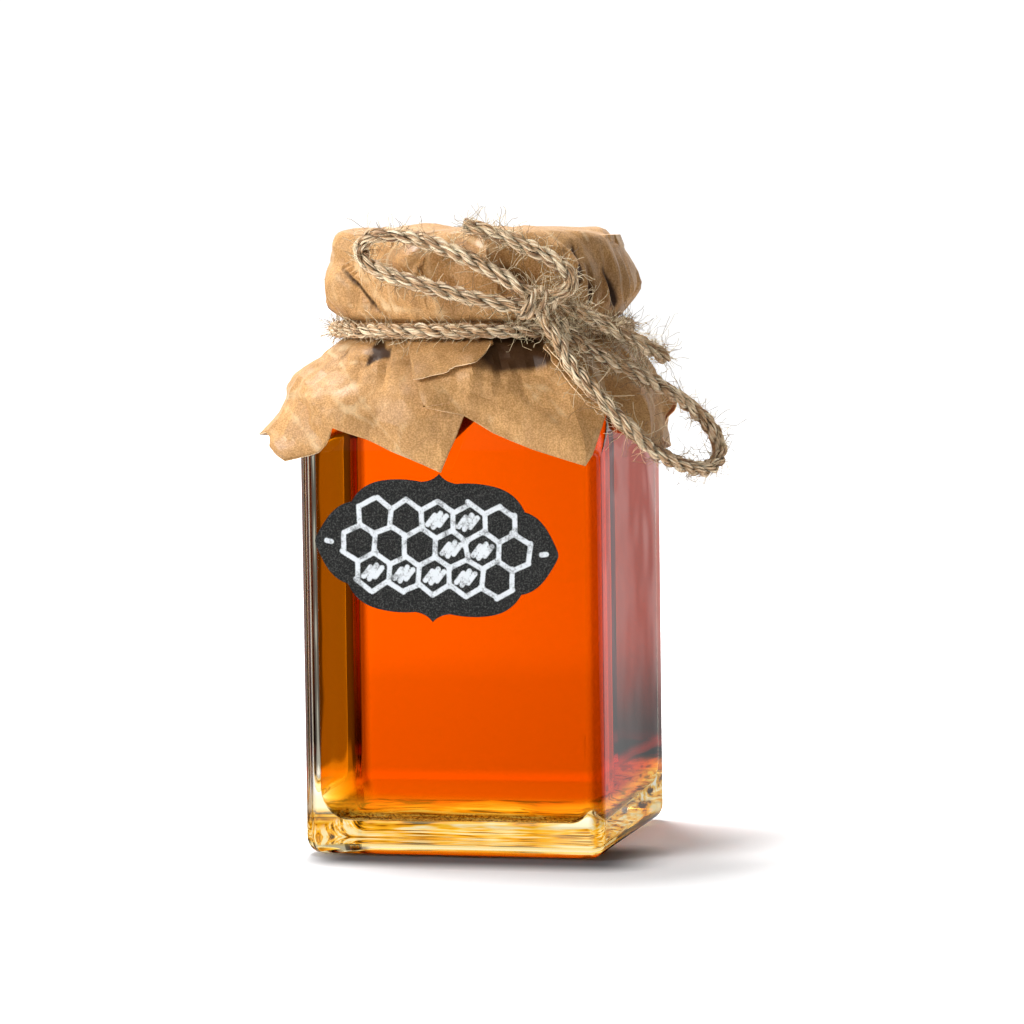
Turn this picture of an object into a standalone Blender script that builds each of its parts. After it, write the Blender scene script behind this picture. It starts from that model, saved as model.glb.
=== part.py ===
"""A square glass jar full of honey, shut with a lid under a kraft paper cover that twine ties at the neck.

Metres, +Z up. The front face, with the label, looks along -Y, and the origin is the middle of
the underside. An azimuth is in degrees, 0 at the front and growing towards +X.
"""

import math

import bmesh
import bpy
from mathutils import Vector

MM = 0.001
GAP = 0.3 * MM  # between two solids that touch

# Glass jar
SIDE = 72 * MM  # across two flat sides
CORNER = 3.5 * MM  # radius of the upright edges
HEEL = 4 * MM  # radius between the sides and the underside
LEAST_CORNER = 1.2 * MM  # radius of the upright edges where the heel has drawn them in
WALL = 3.2 * MM
BASE = 9 * MM  # glass under the honey
SHOULDER_FOOT = 94 * MM  # height where the sides begin to draw in
SHOULDER_TOP = 118 * MM
NECK = 31.6 * MM  # radius
LID_BOTTOM = 127.4 * MM
LID_TOP = 143.6 * MM
LID_THICK = 1.2 * MM
MOUTH = LID_TOP - LID_THICK - GAP
RIM = 1 * MM  # radius of the edge round the mouth
HONEY_LEVEL = MOUTH - 3.4 * MM
CORNER_STEPS = 7  # chords in a quarter turn
SHOULDER_STEPS = 6
HEEL_STEPS = 3

# Lid
LID_RADIUS = 33.8 * MM
LID_BEVEL = 2 * MM

# Paper cover
PAPER = 0.8 * MM  # several crumpled layers
PINCH = NECK + GAP + PAPER  # outer radius under the twine
PINCH_HEIGHT = 122.8 * MM
CROWN = (  # radius and height of the paper over the lid, from near the middle to above the twine, in mm
    (13, 146.1),
    (23, 146.3),
    (31.2, 145.9),
    (35.4, 142.6),
    (37.0, 137.2),
    (36.5, 130.5),
    (35.0, 126.4),
)
CROWN_MIDDLE = 145.9 * MM
CROWN_PLEATS = 17
CROWN_FOLD = 0.45 * MM  # depth of the pleats over the lid's side
HEM = (  # azimuth, radius and height of each fold's end along the hem, in mm
    (-50, 57.0, 99.5),
    (-45, 57.5, 96.5),
    (-40, 56.0, 93.2),
    (-35, 52.5, 95.0),
    (-31, 48.0, 100.8),
    (0, 40.8, 90.3),
    (8, 41.0, 103.8),
    (17, 42.5, 99.4),
    (40, 51.8, 91.8),
    (49, 49.5, 104.0),
    (58, 45.5, 99.0),
    (69, 49.0, 92.2),
    (80, 48.0, 97.0),
    (91, 46.5, 107.0),
    (104, 42.5, 98.0),
    (117, 46.5, 94.5),
    (135, 53.5, 91.5),
    (146, 47.5, 100.0),
    (164, 42.0, 95.0),
    (178, 45.0, 99.5),
    (196, 42.0, 93.0),
    (212, 48.0, 99.0),
    (226, 54.0, 92.5),
    (240, 46.0, 101.5),
    (256, 42.5, 94.0),
    (272, 44.5, 100.0),
    (290, 47.5, 97.5),
)
WIDEST_PANEL = 8  # degrees between two rulings of the skirt
SKIRT_STEPS = 4
SKIRT_BULGE = 0.16  # how far the skirt arches out between neck and hem, as a share of its length

# Twine
TWINE = 3.6 * MM  # diameter
TWINE_SIDES = 8
BAND_STEPS = 40
BAND_RADIUS = PINCH + GAP + TWINE / 2
KNOT_AT = (21.9, -34.4, 129.2)  # mm
KNOT_HALF = (4.2, 3.3, 3.7)  # mm along the neck, outwards and up
POINT_EVERY = 3.6 * MM  # along the twine, close enough for the bends of the bow

# Routes of the bow in mm, each from the knot outwards
LEFT_LOOP = (
    (18.6, -37.9, 132.6),
    (16.4, -38.6, 134.2),
    (11.7, -39.3, 137.0),
    (2.4, -40.5, 141.6),
    (-6.6, -40.4, 144.6),
    (-13.7, -39.0, 145.4),
    (-18.3, -37.7, 143.9),
    (-19.4, -37.4, 141.2),
    (-17.2, -38.0, 138.4),
    (-12.5, -39.0, 136.1),
    (-2.9, -40.7, 133.3),
    (8.0, -40.2, 130.5),
    (16.6, -38.0, 128.9),
)
RIGHT_LOOP = (
    (24.5, -36.2, 124.6),
    (27.2, -35.4, 120.0),
    (30.4, -35.2, 114.3),
    (36.2, -35.1, 107.6),
    (42.2, -31.7, 100.5),
    (47.8, -24.8, 94.0),
    (53.5, -17.2, 90.2),
    (56.9, -11.0, 89.6),
    (58.3, -5.2, 91.9),
    (57.4, -2.6, 95.9),
    (54.3, -5.1, 101.5),
    (48.7, -12.3, 107.3),
    (43.0, -19.2, 111.7),
    (37.4, -24.7, 115.2),
    (32.4, -29.0, 118.6),
    (28.4, -31.8, 121.9),
    (26.6, -33.4, 124.9),
)
UPPER_TAIL = (
    (26.6, -34.6, 130.6),
    (29.4, -33.8, 132.6),
    (29.2, -34.4, 136.0),
    (25.6, -35.4, 139.2),
    (20.6, -36.6, 141.8),
    (14.6, -37.9, 144.6),
    (8.3, -38.6, 146.6),
    (5.8, -38.6, 147.4),
)
RIGHT_TAIL = (
    (27.6, -33.0, 128.4),
    (31.6, -30.4, 126.5),
    (36.2, -26.6, 123.9),
    (40.4, -22.2, 121.0),
    (44.6, -17.8, 118.0),
    (47.8, -14.4, 115.6),
)

# Label, a scalloped plaque
LABEL_AT = (-2.7, 72.5)  # mm, across and up
LABEL_TURN = 3.3  # degrees, its right end down
LABEL_THICK = 0.3 * MM
LABEL_STEPS = 4  # chords in each curve of the outline
LABEL_QUARTER = (  # curves from the top point to the right end in mm: start, what it leans to, end
    ((0, 17.3), (1.4, 15.5), (4.2, 15.2)),
    ((4.2, 15.2), (9.0, 15.9), (13.5, 15.0)),
    ((13.5, 15.0), (18.6, 14.0), (20.8, 9.6)),
    ((20.8, 9.6), (24.4, 8.9), (26.9, 4.8)),
    ((26.9, 4.8), (29.2, 1.0), (29.2, 0)),
)

for old in list(bpy.data.objects):
    bpy.data.objects.remove(old)


def material(name, colour, roughness, transmission=0.0, ior=1.5):
    """A finish of one linear colour."""
    made = bpy.data.materials.new(name)
    made.use_nodes = True
    shader = made.node_tree.nodes["Principled BSDF"]
    shader.inputs["Base Color"].default_value = (*colour, 1)
    shader.inputs["Roughness"].default_value = roughness
    shader.inputs["Metallic"].default_value = 0
    shader.inputs["Transmission Weight"].default_value = transmission
    shader.inputs["IOR"].default_value = ior
    made.diffuse_color = (*colour, 1)
    return made


CLEAR_GLASS = material("clear_glass", (0.92, 0.95, 0.93), 0.03, transmission=1, ior=1.52)
AMBER_HONEY = material("amber_honey", (0.80, 0.16, 0.01), 0.1, transmission=0.8, ior=1.49)
LID_PAINT = material("lid_paint", (0.55, 0.52, 0.46), 0.4)
KRAFT_PAPER = material("kraft_paper", (0.58, 0.36, 0.18), 0.85)
JUTE = material("jute", (0.55, 0.40, 0.22), 0.95)
CHALKBOARD = material("chalkboard", (0.02, 0.02, 0.02), 0.8)


def placed(name, data, finish):
    """The object that holds a mesh or a curve."""
    made = bpy.data.objects.new(name, data)
    bpy.context.scene.collection.objects.link(made)
    data.materials.append(finish)
    return made


def shaded(mesh, sharp_degrees=35):
    mesh.shade_smooth()
    mesh.set_sharp_from_angle(angle=math.radians(sharp_degrees))


def rounded_square(half, corner, height):
    """One level of the jar: a square with its corners rounded, a circle where corner equals half."""
    loop = []
    for quarter in range(4):
        turn = quarter * math.pi / 2
        middle = Vector((half - corner, half - corner, 0))
        for step in range(CORNER_STEPS + 1):
            angle = step / CORNER_STEPS * math.pi / 2
            point = middle + corner * Vector((math.cos(angle), math.sin(angle), 0))
            loop.append(
                Vector(
                    (
                        point.x * math.cos(turn) - point.y * math.sin(turn),
                        point.x * math.sin(turn) + point.y * math.cos(turn),
                        height,
                    )
                )
            )
    return loop


def circle(radius, height):
    return rounded_square(radius, radius, height)


def lofted(name, loops, finish):
    """A closed solid through a row of loops, with a flat face on the first and the last."""
    bm = bmesh.new()
    rows = [[bm.verts.new(point) for point in loop] for loop in loops]
    count = len(rows[0])
    for low, high in zip(rows, rows[1:]):
        for i in range(count):
            j = (i + 1) % count
            bm.faces.new((low[i], low[j], high[j], high[i]))
    bm.faces.new(rows[0])
    bm.faces.new(rows[-1])
    bmesh.ops.remove_doubles(bm, verts=bm.verts, dist=0.01 * MM)
    bmesh.ops.recalc_face_normals(bm, faces=bm.faces)
    mesh = bpy.data.meshes.new(name)
    bm.to_mesh(mesh)
    bm.free()
    shaded(mesh)
    return placed(name, mesh, finish)


def heel_loops(half, corner, radius, foot):
    """The quarter turn from a flat underside at height foot to upright sides."""
    loops = []
    for step in range(HEEL_STEPS + 1):
        angle = step / HEEL_STEPS * math.pi / 2
        inset = radius * (1 - math.sin(angle))
        rise = radius * (1 - math.cos(angle))
        loops.append(rounded_square(half - inset, max(corner - inset, LEAST_CORNER), foot + rise))
    return loops


def shoulder_loops(half, corner, neck):
    """From the square sides to the round neck."""
    loops = []
    for step in range(SHOULDER_STEPS + 1):
        share = step / SHOULDER_STEPS
        reach = neck + (half - neck) * math.cos(share * math.pi / 2)
        turned = corner + (neck - corner) * share**0.8
        height = SHOULDER_FOOT + (SHOULDER_TOP - SHOULDER_FOOT) * share
        loops.append(rounded_square(reach, min(turned, reach), height))
    return loops


def cavity_loops(clearance):
    """The inside of the glass from its floor to the foot of the neck, drawn in by clearance."""
    half = SIDE / 2 - WALL - clearance
    corner = CORNER - clearance
    loops = heel_loops(half, corner, HEEL - clearance, BASE + clearance)
    loops += shoulder_loops(half, corner, NECK - WALL - clearance)
    return loops


def make_jar():
    outside = heel_loops(SIDE / 2, CORNER, HEEL, 0) + shoulder_loops(SIDE / 2, CORNER, NECK)
    rim = [
        circle(NECK, MOUTH - RIM),
        circle(NECK - RIM, MOUTH),
        circle(NECK - WALL + RIM, MOUTH),
        circle(NECK - WALL, MOUTH - RIM),
    ]
    lofted("jar_glass", outside + rim + cavity_loops(0)[::-1], CLEAR_GLASS)


def make_honey():
    top = circle(NECK - WALL - GAP, HONEY_LEVEL)
    lofted("honey", cavity_loops(GAP) + [top], AMBER_HONEY)


def make_lid():
    bore = NECK + GAP
    loops = [
        circle(bore, LID_TOP - LID_THICK),
        circle(bore, LID_BOTTOM),
        circle(LID_RADIUS, LID_BOTTOM),
        circle(LID_RADIUS, LID_TOP - LID_BEVEL),
        circle(LID_RADIUS - 0.3 * LID_BEVEL, LID_TOP - 0.3 * LID_BEVEL),
        circle(LID_RADIUS - LID_BEVEL, LID_TOP),
    ]
    lofted("lid", loops, LID_PAINT)


def hem_at(share, first, second):
    """The hem between two fold ends, which paper spans in a straight line."""
    return [a + (b - a) * share for a, b in zip(first, second)]


def rulings():
    """Azimuth, and the hem's radius and height, of every line that runs down the skirt."""
    lines = []
    ends = [*HEM, (HEM[0][0] + 360, *HEM[0][1:])]
    for first, second in zip(ends, ends[1:]):
        panels = math.ceil((second[0] - first[0]) / WIDEST_PANEL)
        lines += [hem_at(panel / panels, first, second) for panel in range(panels)]
    return lines


def paper_line(azimuth, hem_radius, hem_height):
    """Radius and height down one ruling of the paper, from the crown to the hem."""
    crease = abs(2 * (azimuth * CROWN_PLEATS / 360 % 1) - 1)
    down = []
    for row, (radius, height) in enumerate(CROWN):
        depth = CROWN_FOLD * row / (len(CROWN) - 1)
        down.append((radius * MM + depth * crease, height * MM))
    down.append((PINCH, PINCH_HEIGHT + TWINE / 2))
    down.append((PINCH, PINCH_HEIGHT - TWINE / 2))
    start = Vector(down[-1])
    fall = Vector((hem_radius * MM, hem_height * MM)) - start
    outwards = Vector((-fall.y, fall.x)) * SKIRT_BULGE
    for step in range(1, SKIRT_STEPS + 1):
        share = step / SKIRT_STEPS
        point = start + fall * share + outwards * 4 * share * (1 - share) * (1 - share / 2)
        down.append(tuple(point))
    return down


def make_paper_cover():
    bm = bmesh.new()
    middle = bm.verts.new((0, 0, CROWN_MIDDLE))
    columns = []
    for azimuth, hem_radius, hem_height in rulings():
        turn = math.radians(azimuth)
        column = [
            bm.verts.new((radius * math.sin(turn), -radius * math.cos(turn), height))
            for radius, height in paper_line(azimuth, hem_radius, hem_height)
        ]
        columns.append(column)
    for left, right in zip(columns, columns[1:] + columns[:1]):
        bm.faces.new((middle, left[0], right[0]))
        for row in range(len(left) - 1):
            bm.faces.new((left[row], left[row + 1], right[row + 1], right[row]))
    bmesh.ops.recalc_face_normals(bm, faces=bm.faces)
    mesh = bpy.data.meshes.new("paper_cover")
    bm.to_mesh(mesh)
    bm.free()
    shaded(mesh, sharp_degrees=12)
    cover = placed("paper_cover", mesh, KRAFT_PAPER)
    wall = cover.modifiers.new("layers", "SOLIDIFY")
    wall.thickness = PAPER
    wall.offset = -1


def make_twine_band():
    bm = bmesh.new()
    seam = bmesh.ops.create_circle(bm, segments=TWINE_SIDES, radius=TWINE / 2)["verts"]
    for vert in seam:
        vert.co = Vector((BAND_RADIUS + vert.co.x, 0, PINCH_HEIGHT + vert.co.y))
    bmesh.ops.spin(
        bm,
        geom=bm.verts[:] + bm.edges[:],
        axis=(0, 0, 1),
        cent=(0, 0, 0),
        angle=2 * math.pi,
        steps=BAND_STEPS,
    )
    bmesh.ops.remove_doubles(bm, verts=bm.verts, dist=0.01 * MM)
    bmesh.ops.recalc_face_normals(bm, faces=bm.faces)
    mesh = bpy.data.meshes.new("twine_band")
    bm.to_mesh(mesh)
    bm.free()
    shaded(mesh, sharp_degrees=60)
    placed("twine_band", mesh, JUTE)


def make_twine_knot():
    bm = bmesh.new()
    bmesh.ops.create_uvsphere(bm, u_segments=14, v_segments=8, radius=1)
    for vert in bm.verts:
        vert.co = Vector([side * half * MM for side, half in zip(vert.co, KNOT_HALF)])
    mesh = bpy.data.meshes.new("twine_knot")
    bm.to_mesh(mesh)
    bm.free()
    shaded(mesh, sharp_degrees=60)
    knot = placed("twine_knot", mesh, JUTE)
    knot.location = [number * MM for number in KNOT_AT]
    knot.rotation_euler.z = math.atan2(KNOT_AT[0], -KNOT_AT[1])


def through(points, share, leg):
    """A point of the smooth curve through a route, on the leg between two of its points."""
    last = len(points) - 1
    before, start, end, after = (points[min(max(leg + k, 0), last)] for k in (-1, 0, 1, 2))
    return 0.5 * (
        2 * start
        + (end - before) * share
        + (2 * before - 5 * start + 4 * end - after) * share**2
        + (3 * start - before - 3 * end + after) * share**3
    )


def smooth_route(route):
    """Points along the smooth curve through a route, one about every POINT_EVERY."""
    points = [Vector(point) * MM for point in route]
    fine = [through(points, step / 16, leg) for leg in range(len(points) - 1) for step in range(16)]
    fine.append(points[-1])
    along = [0.0]
    for first, second in zip(fine, fine[1:]):
        along.append(along[-1] + (second - first).length)
    wanted = max(2, round(along[-1] / POINT_EVERY))
    read = []
    at = 0
    for number in range(wanted + 1):
        length = along[-1] * number / wanted
        while at < len(fine) - 2 and along[at + 1] < length:
            at += 1
        share = (length - along[at]) / (along[at + 1] - along[at])
        read.append(fine[at].lerp(fine[at + 1], share))
    return read


def make_twine(name, route):
    """A round cord along a route."""
    points = smooth_route(route)
    data = bpy.data.curves.new(name, "CURVE")
    data.dimensions = "3D"
    data.bevel_depth = TWINE / 2
    data.bevel_resolution = 2
    data.use_fill_caps = True
    spline = data.splines.new("POLY")
    spline.points.add(len(points) - 1)
    for place, point in zip(spline.points, points):
        place.co = (*point, 1)
    placed(name, data, JUTE)


def label_outline():
    """The plaque's outline about its own middle: one quarter, mirrored across and down."""
    quarter = []
    for start, lean, end in LABEL_QUARTER:
        for step in range(LABEL_STEPS):
            share = step / LABEL_STEPS
            point = [
                (1 - share) ** 2 * a + 2 * share * (1 - share) * b + share**2 * c
                for a, b, c in zip(start, lean, end)
            ]
            quarter.append(Vector(point) * MM)
    right_end = Vector(LABEL_QUARTER[-1][-1]) * MM
    upper = quarter + [right_end]
    lower = [Vector((point.x, -point.y)) for point in quarter[::-1]]
    half = upper + lower
    other = [Vector((-point.x, point.y)) for point in half[-2:0:-1]]
    return half + other


def make_label():
    turn = math.radians(LABEL_TURN)
    front = -SIDE / 2 - GAP - LABEL_THICK
    bm = bmesh.new()
    verts = []
    for point in label_outline():
        across = LABEL_AT[0] * MM + point.x * math.cos(turn) + point.y * math.sin(turn)
        up = LABEL_AT[1] * MM - point.x * math.sin(turn) + point.y * math.cos(turn)
        verts.append(bm.verts.new((across, front, up)))
    face = bm.faces.new(verts)
    made = bmesh.ops.extrude_face_region(bm, geom=[face])["geom"]
    backs = [vert for vert in made if isinstance(vert, bmesh.types.BMVert)]
    bmesh.ops.translate(bm, verts=backs, vec=(0, LABEL_THICK, 0))
    bmesh.ops.recalc_face_normals(bm, faces=bm.faces)
    mesh = bpy.data.meshes.new("label")
    bm.to_mesh(mesh)
    bm.free()
    placed("label", mesh, CHALKBOARD)


make_jar()
make_honey()
make_lid()
make_paper_cover()
make_twine_band()
make_twine_knot()
make_twine("twine_loop_left", LEFT_LOOP)
make_twine("twine_loop_right", RIGHT_LOOP)
make_twine("twine_tail_upper", UPPER_TAIL)
make_twine("twine_tail_right", RIGHT_TAIL)
make_label()
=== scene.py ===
# %% [markdown]
# # A jar of honey under tied kraft paper
# This notebook dresses a CAD model of a square honey jar. The solids say where each piece is and
# how big it is; each step here looks at one piece or finish of the real object, says how it
# could be made in Blender, and makes it. Lengths are in metres unless a comment says otherwise,
# +Z is up, and the jar's front looks along -Y.

# %% Load the frame
import math

import bmesh
import bpy
import numpy as np
from mathutils import Matrix, Vector
from mathutils.geometry import delaunay_2d_cdt


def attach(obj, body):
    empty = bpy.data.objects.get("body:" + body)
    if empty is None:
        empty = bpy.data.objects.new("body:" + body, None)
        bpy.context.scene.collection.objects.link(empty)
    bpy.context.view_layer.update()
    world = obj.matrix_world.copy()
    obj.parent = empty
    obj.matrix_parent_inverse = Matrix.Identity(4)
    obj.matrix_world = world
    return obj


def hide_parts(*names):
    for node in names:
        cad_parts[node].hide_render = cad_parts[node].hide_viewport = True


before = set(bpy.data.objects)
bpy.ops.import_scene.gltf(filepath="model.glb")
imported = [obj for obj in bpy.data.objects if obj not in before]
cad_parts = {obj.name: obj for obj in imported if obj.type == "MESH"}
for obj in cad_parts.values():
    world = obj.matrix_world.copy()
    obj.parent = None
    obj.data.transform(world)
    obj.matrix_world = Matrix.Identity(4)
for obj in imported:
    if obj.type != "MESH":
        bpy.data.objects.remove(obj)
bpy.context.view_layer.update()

MM = 0.001
print("nodes:", ", ".join(sorted(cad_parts)))


# %% [markdown]
# ## Colours
# A picker shows colours as sRGB hex, and a shader wants linear light. One function turns the one
# into the other, so that every colour in this file can be checked against a picture.

# %% Colour helper
def colour(hex_code):
    """Linear red, green, blue and alpha of an sRGB colour such as "C89A66"."""
    parts = [int(hex_code[i : i + 2], 16) / 255 for i in (0, 2, 4)]
    linear = [p / 12.92 if p <= 0.04045 else ((p + 0.055) / 1.055) ** 2.4 for p in parts]
    return (*linear, 1.0)


print("kraft brown is", [round(part, 3) for part in colour("C89A66")])


# %% [markdown]
# ## Nodes
# Shaders and Geometry Nodes are both trees of nodes. One small helper adds a node, sets its
# options, and either links or fills in each input, which keeps the recipes below short. Inputs
# go by name, or in the node's own order where that is well known. The recipes often need one
# look to turn smoothly into another. A Map Range node set to SMOOTH does that: its five inputs
# are a value, where the change starts and ends, and what it goes from and to.

# %% Node helper
SMOOTH = {"interpolation_type": "SMOOTHSTEP"}


def add_node(tree, kind, inputs=(), **options):
    """A new node. An input is a plain value, an output socket, or a node for its first output."""
    made = tree.nodes.new(kind)
    for name, value in options.items():
        setattr(made, name, value)
    for name, value in inputs.items() if isinstance(inputs, dict) else enumerate(inputs):
        if isinstance(value, bpy.types.Node):
            value = value.outputs[0]
        if isinstance(value, bpy.types.NodeSocket):
            tree.links.new(value, made.inputs[name])
        else:
            made.inputs[name].default_value = value
    return made


def empty_material(name):
    """A material without nodes, and its tree."""
    made = bpy.data.materials.new(name)
    made.use_nodes = True
    made.node_tree.nodes.clear()
    return made, made.node_tree


def finish_material(tree, surface, volume=None):
    """Ends a material's tree in its output."""
    inside = {} if volume is None else {"Volume": volume}
    add_node(tree, "ShaderNodeOutputMaterial", {"Surface": surface, **inside})


def new_object(name, data, *materials):
    """An object at the origin that holds a mesh or a curve."""
    made = bpy.data.objects.new(name, data)
    bpy.context.scene.collection.objects.link(made)
    for finish in materials:
        data.materials.append(finish)
    return made


def mesh_of(bm, name):
    """The mesh that a bmesh holds."""
    made = bpy.data.meshes.new(name)
    bm.to_mesh(made)
    bm.free()
    return made


def set_stops(ramp, stops):
    """Gives a colour ramp its stops, each (place, colour)."""
    while len(ramp.elements) < len(stops):
        ramp.elements.new(0.5)
    for element, (place, shade) in zip(ramp.elements, stops):
        element.position = place
        element.color = shade


print("helpers ready")

# %% [markdown]
# ## Camera
# A product shot is taken from a step away with a long lens, which keeps the jar's upright edges
# nearly parallel. The camera stands a little to the jar's right and just above its lid, looks
# slightly down, and leans by less than a degree, as a hand-set tripod does.

# %% Set up the camera
VIEW_AZIMUTH = 14.0  # degrees round the jar from its front
VIEW_DISTANCE = 1.037
VIEW_HEIGHT = 0.150
PITCH_DOWN = 3.958  # degrees
LOOK_RIGHT = 0.362  # degrees off the jar's axis
LEAN = -0.8  # degrees about the line of sight
LENS = 152.2  # mm, on a sensor 36 mm wide

camera_data = bpy.data.cameras.new("camera")
camera_data.lens = LENS
camera_data.sensor_width = 36
camera_data.clip_start = 0.05
camera = new_object("camera", camera_data)
stand = math.radians(VIEW_AZIMUTH)
spot = Vector((math.sin(stand), -math.cos(stand), 0)) * VIEW_DISTANCE + Vector((0, 0, VIEW_HEIGHT))
heading = Matrix.Rotation(math.radians(VIEW_AZIMUTH - LOOK_RIGHT), 4, "Z")
tilt = Matrix.Rotation(math.radians(90 - PITCH_DOWN), 4, "X")
lean = Matrix.Rotation(math.radians(LEAN), 4, "Z")
camera.matrix_world = Matrix.Translation(spot) @ heading @ tilt @ lean
bpy.context.scene.camera = camera
print("camera at", [round(part, 3) for part in spot])

# %% [markdown]
# ## Floor and light
# Clear glass has hardly a look of its own: it shows what stands behind it. So the studio is
# built for the honey. A wide white floor runs on far behind the jar, and a glow that grows with
# distance stands for the lit backdrop, so the honey is brightest near its top. The glow lights
# nothing itself. What the glass mirrors is another matter: a pale floor in front would lay a
# milky film over the honey, so mirrored rays meet a floor that is black in front of the jar and
# grey behind it, the work that black flags do in a studio. A dark card behind the jar, which
# reaches forward along the floor and is seen only through the glass, browns the honey beside the
# jar's left edge, where the wall turns light back.

# %% Floor and glow
FLOOR_RADIUS = 9.0
FLOOR_DROP = 0.3 * MM  # below the jar, so that glass and floor don't share one plane
FLOOR_LIFT = 0.18  # light that the floor gives itself, which keeps it white away from the jar
MIRRORED_NEAR = 0.62  # what the glass mirrors of the floor close behind it, and further off
MIRRORED_FAR = 0.78
GLOW_FROM = 0.10  # where the glow starts, from the jar's axis
GLOW_FULL = 0.50
GLOW_STRENGTH = 1.1


def distance_from_jar(tree):
    """The distance from the jar's axis and the place itself, as two sockets."""
    where = add_node(tree, "ShaderNodeTexCoord").outputs["Object"]
    away = add_node(tree, "ShaderNodeVectorMath", (where,), operation="LENGTH")
    return away.outputs["Value"], where


def stripes_across(tree, value, left, right, stops):
    """Brightness and visibility between left and right, by stops (place, brightness, shown)."""
    across = add_node(tree, "ShaderNodeMapRange", (value, left, right))
    made = add_node(tree, "ShaderNodeValToRGB", (across,))
    made.color_ramp.interpolation = "EASE"
    set_stops(made.color_ramp, [(place, (grey, grey, grey, shown)) for place, grey, shown in stops])
    return made


def sideways(tree, split, slope):
    """How far a floor point lies to the right of a line from the jar that drifts by slope."""
    drift = add_node(tree, "ShaderNodeMath", (split.outputs["Y"], -slope), operation="MULTIPLY")
    return add_node(tree, "ShaderNodeMath", (split.outputs["X"], drift), operation="ADD")


# %% Pale floor
PAINTED_SHADOW_MIDDLE = (6.0 * MM, -30.0 * MM, 0.0)  # a contact shadow painted into the floor's colour, which lies along the front
PAINTED_SHADOW_HALF = (30.0 * MM, 9.0 * MM, 1.0)
PAINTED_SHADOW_FADE = 18 * MM
MIRRORED_SLANT = 0.214  # sideways drift of what the right side mirrors
MIRRORED_LEFT, MIRRORED_RIGHT = 0.021, 0.051  # where the stripes below start and end
MIRRORED_STRIPES = (  # place between the two, brightness, shown
    (0.00, 1.00, 1),
    (0.12, 0.72, 1),
    (0.32, 0.40, 1),
    (0.62, 0.66, 1),
    (0.80, 0.74, 1),
    (1.00, 0.55, 1),
)

floor_finish, tree = empty_material("pale_floor")
away, where = distance_from_jar(tree)
split = add_node(tree, "ShaderNodeSeparateXYZ", (where,))
moved = add_node(tree, "ShaderNodeVectorMath", (where, PAINTED_SHADOW_MIDDLE), operation="SUBTRACT")
folded = add_node(tree, "ShaderNodeVectorMath", (moved,), operation="ABSOLUTE")
outside = add_node(tree, "ShaderNodeVectorMath", (folded, PAINTED_SHADOW_HALF), operation="SUBTRACT")
kept = add_node(tree, "ShaderNodeVectorMath", (outside, (0, 0, 0)), operation="MAXIMUM")
gap = add_node(tree, "ShaderNodeVectorMath", (kept,), operation="LENGTH")
pale = add_node(tree, "ShaderNodeMapRange", (gap.outputs["Value"], 0.0, PAINTED_SHADOW_FADE, 0.0, 1.0), **SMOOTH)
# Painted contact shadow: the floor's colour darkens near the jar's foot, and the floor's own light
# fades there too.
paint = add_node(
    tree, "ShaderNodeMix", {"Factor": pale, 6: colour("666668"), 7: colour("F8F8F8")}, data_type="RGBA"
)
lift = add_node(tree, "ShaderNodeMath", (pale, FLOOR_LIFT), operation="MULTIPLY")
lit = add_node(
    tree,
    "ShaderNodeBsdfPrincipled",
    {
        "Base Color": paint.outputs[2],
        "Roughness": 0.7,
        "Specular IOR Level": 0.2,
        "Emission Color": (1, 1, 1, 1),
        "Emission Strength": lift,
    },
)
behind = add_node(tree, "ShaderNodeMapRange", (split.outputs["Y"], -0.02, 0.05, 0.0, 1.0), **SMOOTH)
far = add_node(tree, "ShaderNodeMapRange", (away, 0.05, 0.6, MIRRORED_NEAR, MIRRORED_FAR), **SMOOTH)
across = sideways(tree, split, MIRRORED_SLANT)
stripes = stripes_across(tree, across, MIRRORED_LEFT, MIRRORED_RIGHT, MIRRORED_STRIPES)
grey = add_node(tree, "ShaderNodeMath", (behind, far), operation="MULTIPLY")
mirrored = add_node(tree, "ShaderNodeEmission", {"Color": stripes.outputs["Color"], "Strength": grey})
ray = add_node(tree, "ShaderNodeLightPath")
either = add_node(tree, "ShaderNodeMixShader", (ray.outputs["Is Glossy Ray"], lit, mirrored))
finish_material(tree, either)

# %% Glow
GLOW_HOLE = 0.052  # radius round the jar without any glow
UNDER_RADIUS = 0.030  # of the light under the jar
GLOW_NEAR = 0.85  # just behind the jar
GLOW_RIGHT_SHARE = 0.60  # of the glow that is left on the right of the line of sight
GLOW_SLANT = 0.25  # sideways drift of the line of sight behind the jar
GLOW_TURNS = (-0.06, 0.07)  # from here to here, right of that line, the glow fades to its share

glow_finish, tree = empty_material("backdrop_glow")
away, where = distance_from_jar(tree)
split = add_node(tree, "ShaderNodeSeparateXYZ", (where,))
round_about = add_node(
    tree, "ShaderNodeMapRange", (away, GLOW_FROM, GLOW_FULL, 0, GLOW_STRENGTH), **SMOOTH
)
close_behind = add_node(
    tree, "ShaderNodeMapRange", (split.outputs["Y"], 0.02, 0.06, 0, GLOW_NEAR), **SMOOTH
)
larger = add_node(tree, "ShaderNodeMath", (round_about, close_behind), operation="MAXIMUM")
share = add_node(
    tree,
    "ShaderNodeMapRange",
    (sideways(tree, split, -GLOW_SLANT), *GLOW_TURNS, 1.0, GLOW_RIGHT_SHARE),
    **SMOOTH,
)
strength = add_node(tree, "ShaderNodeMath", (larger, share), operation="MULTIPLY")
glow = add_node(tree, "ShaderNodeEmission", {"Strength": strength})
clear = add_node(tree, "ShaderNodeBsdfTransparent")
added = add_node(tree, "ShaderNodeAddShader", (glow, clear))
finish_material(tree, added)

under_finish, tree = empty_material("light_under_the_jar")
glow = add_node(tree, "ShaderNodeEmission", {"Color": colour("FFE9A8"), "Strength": 1.0})
finish_material(tree, glow)


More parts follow.
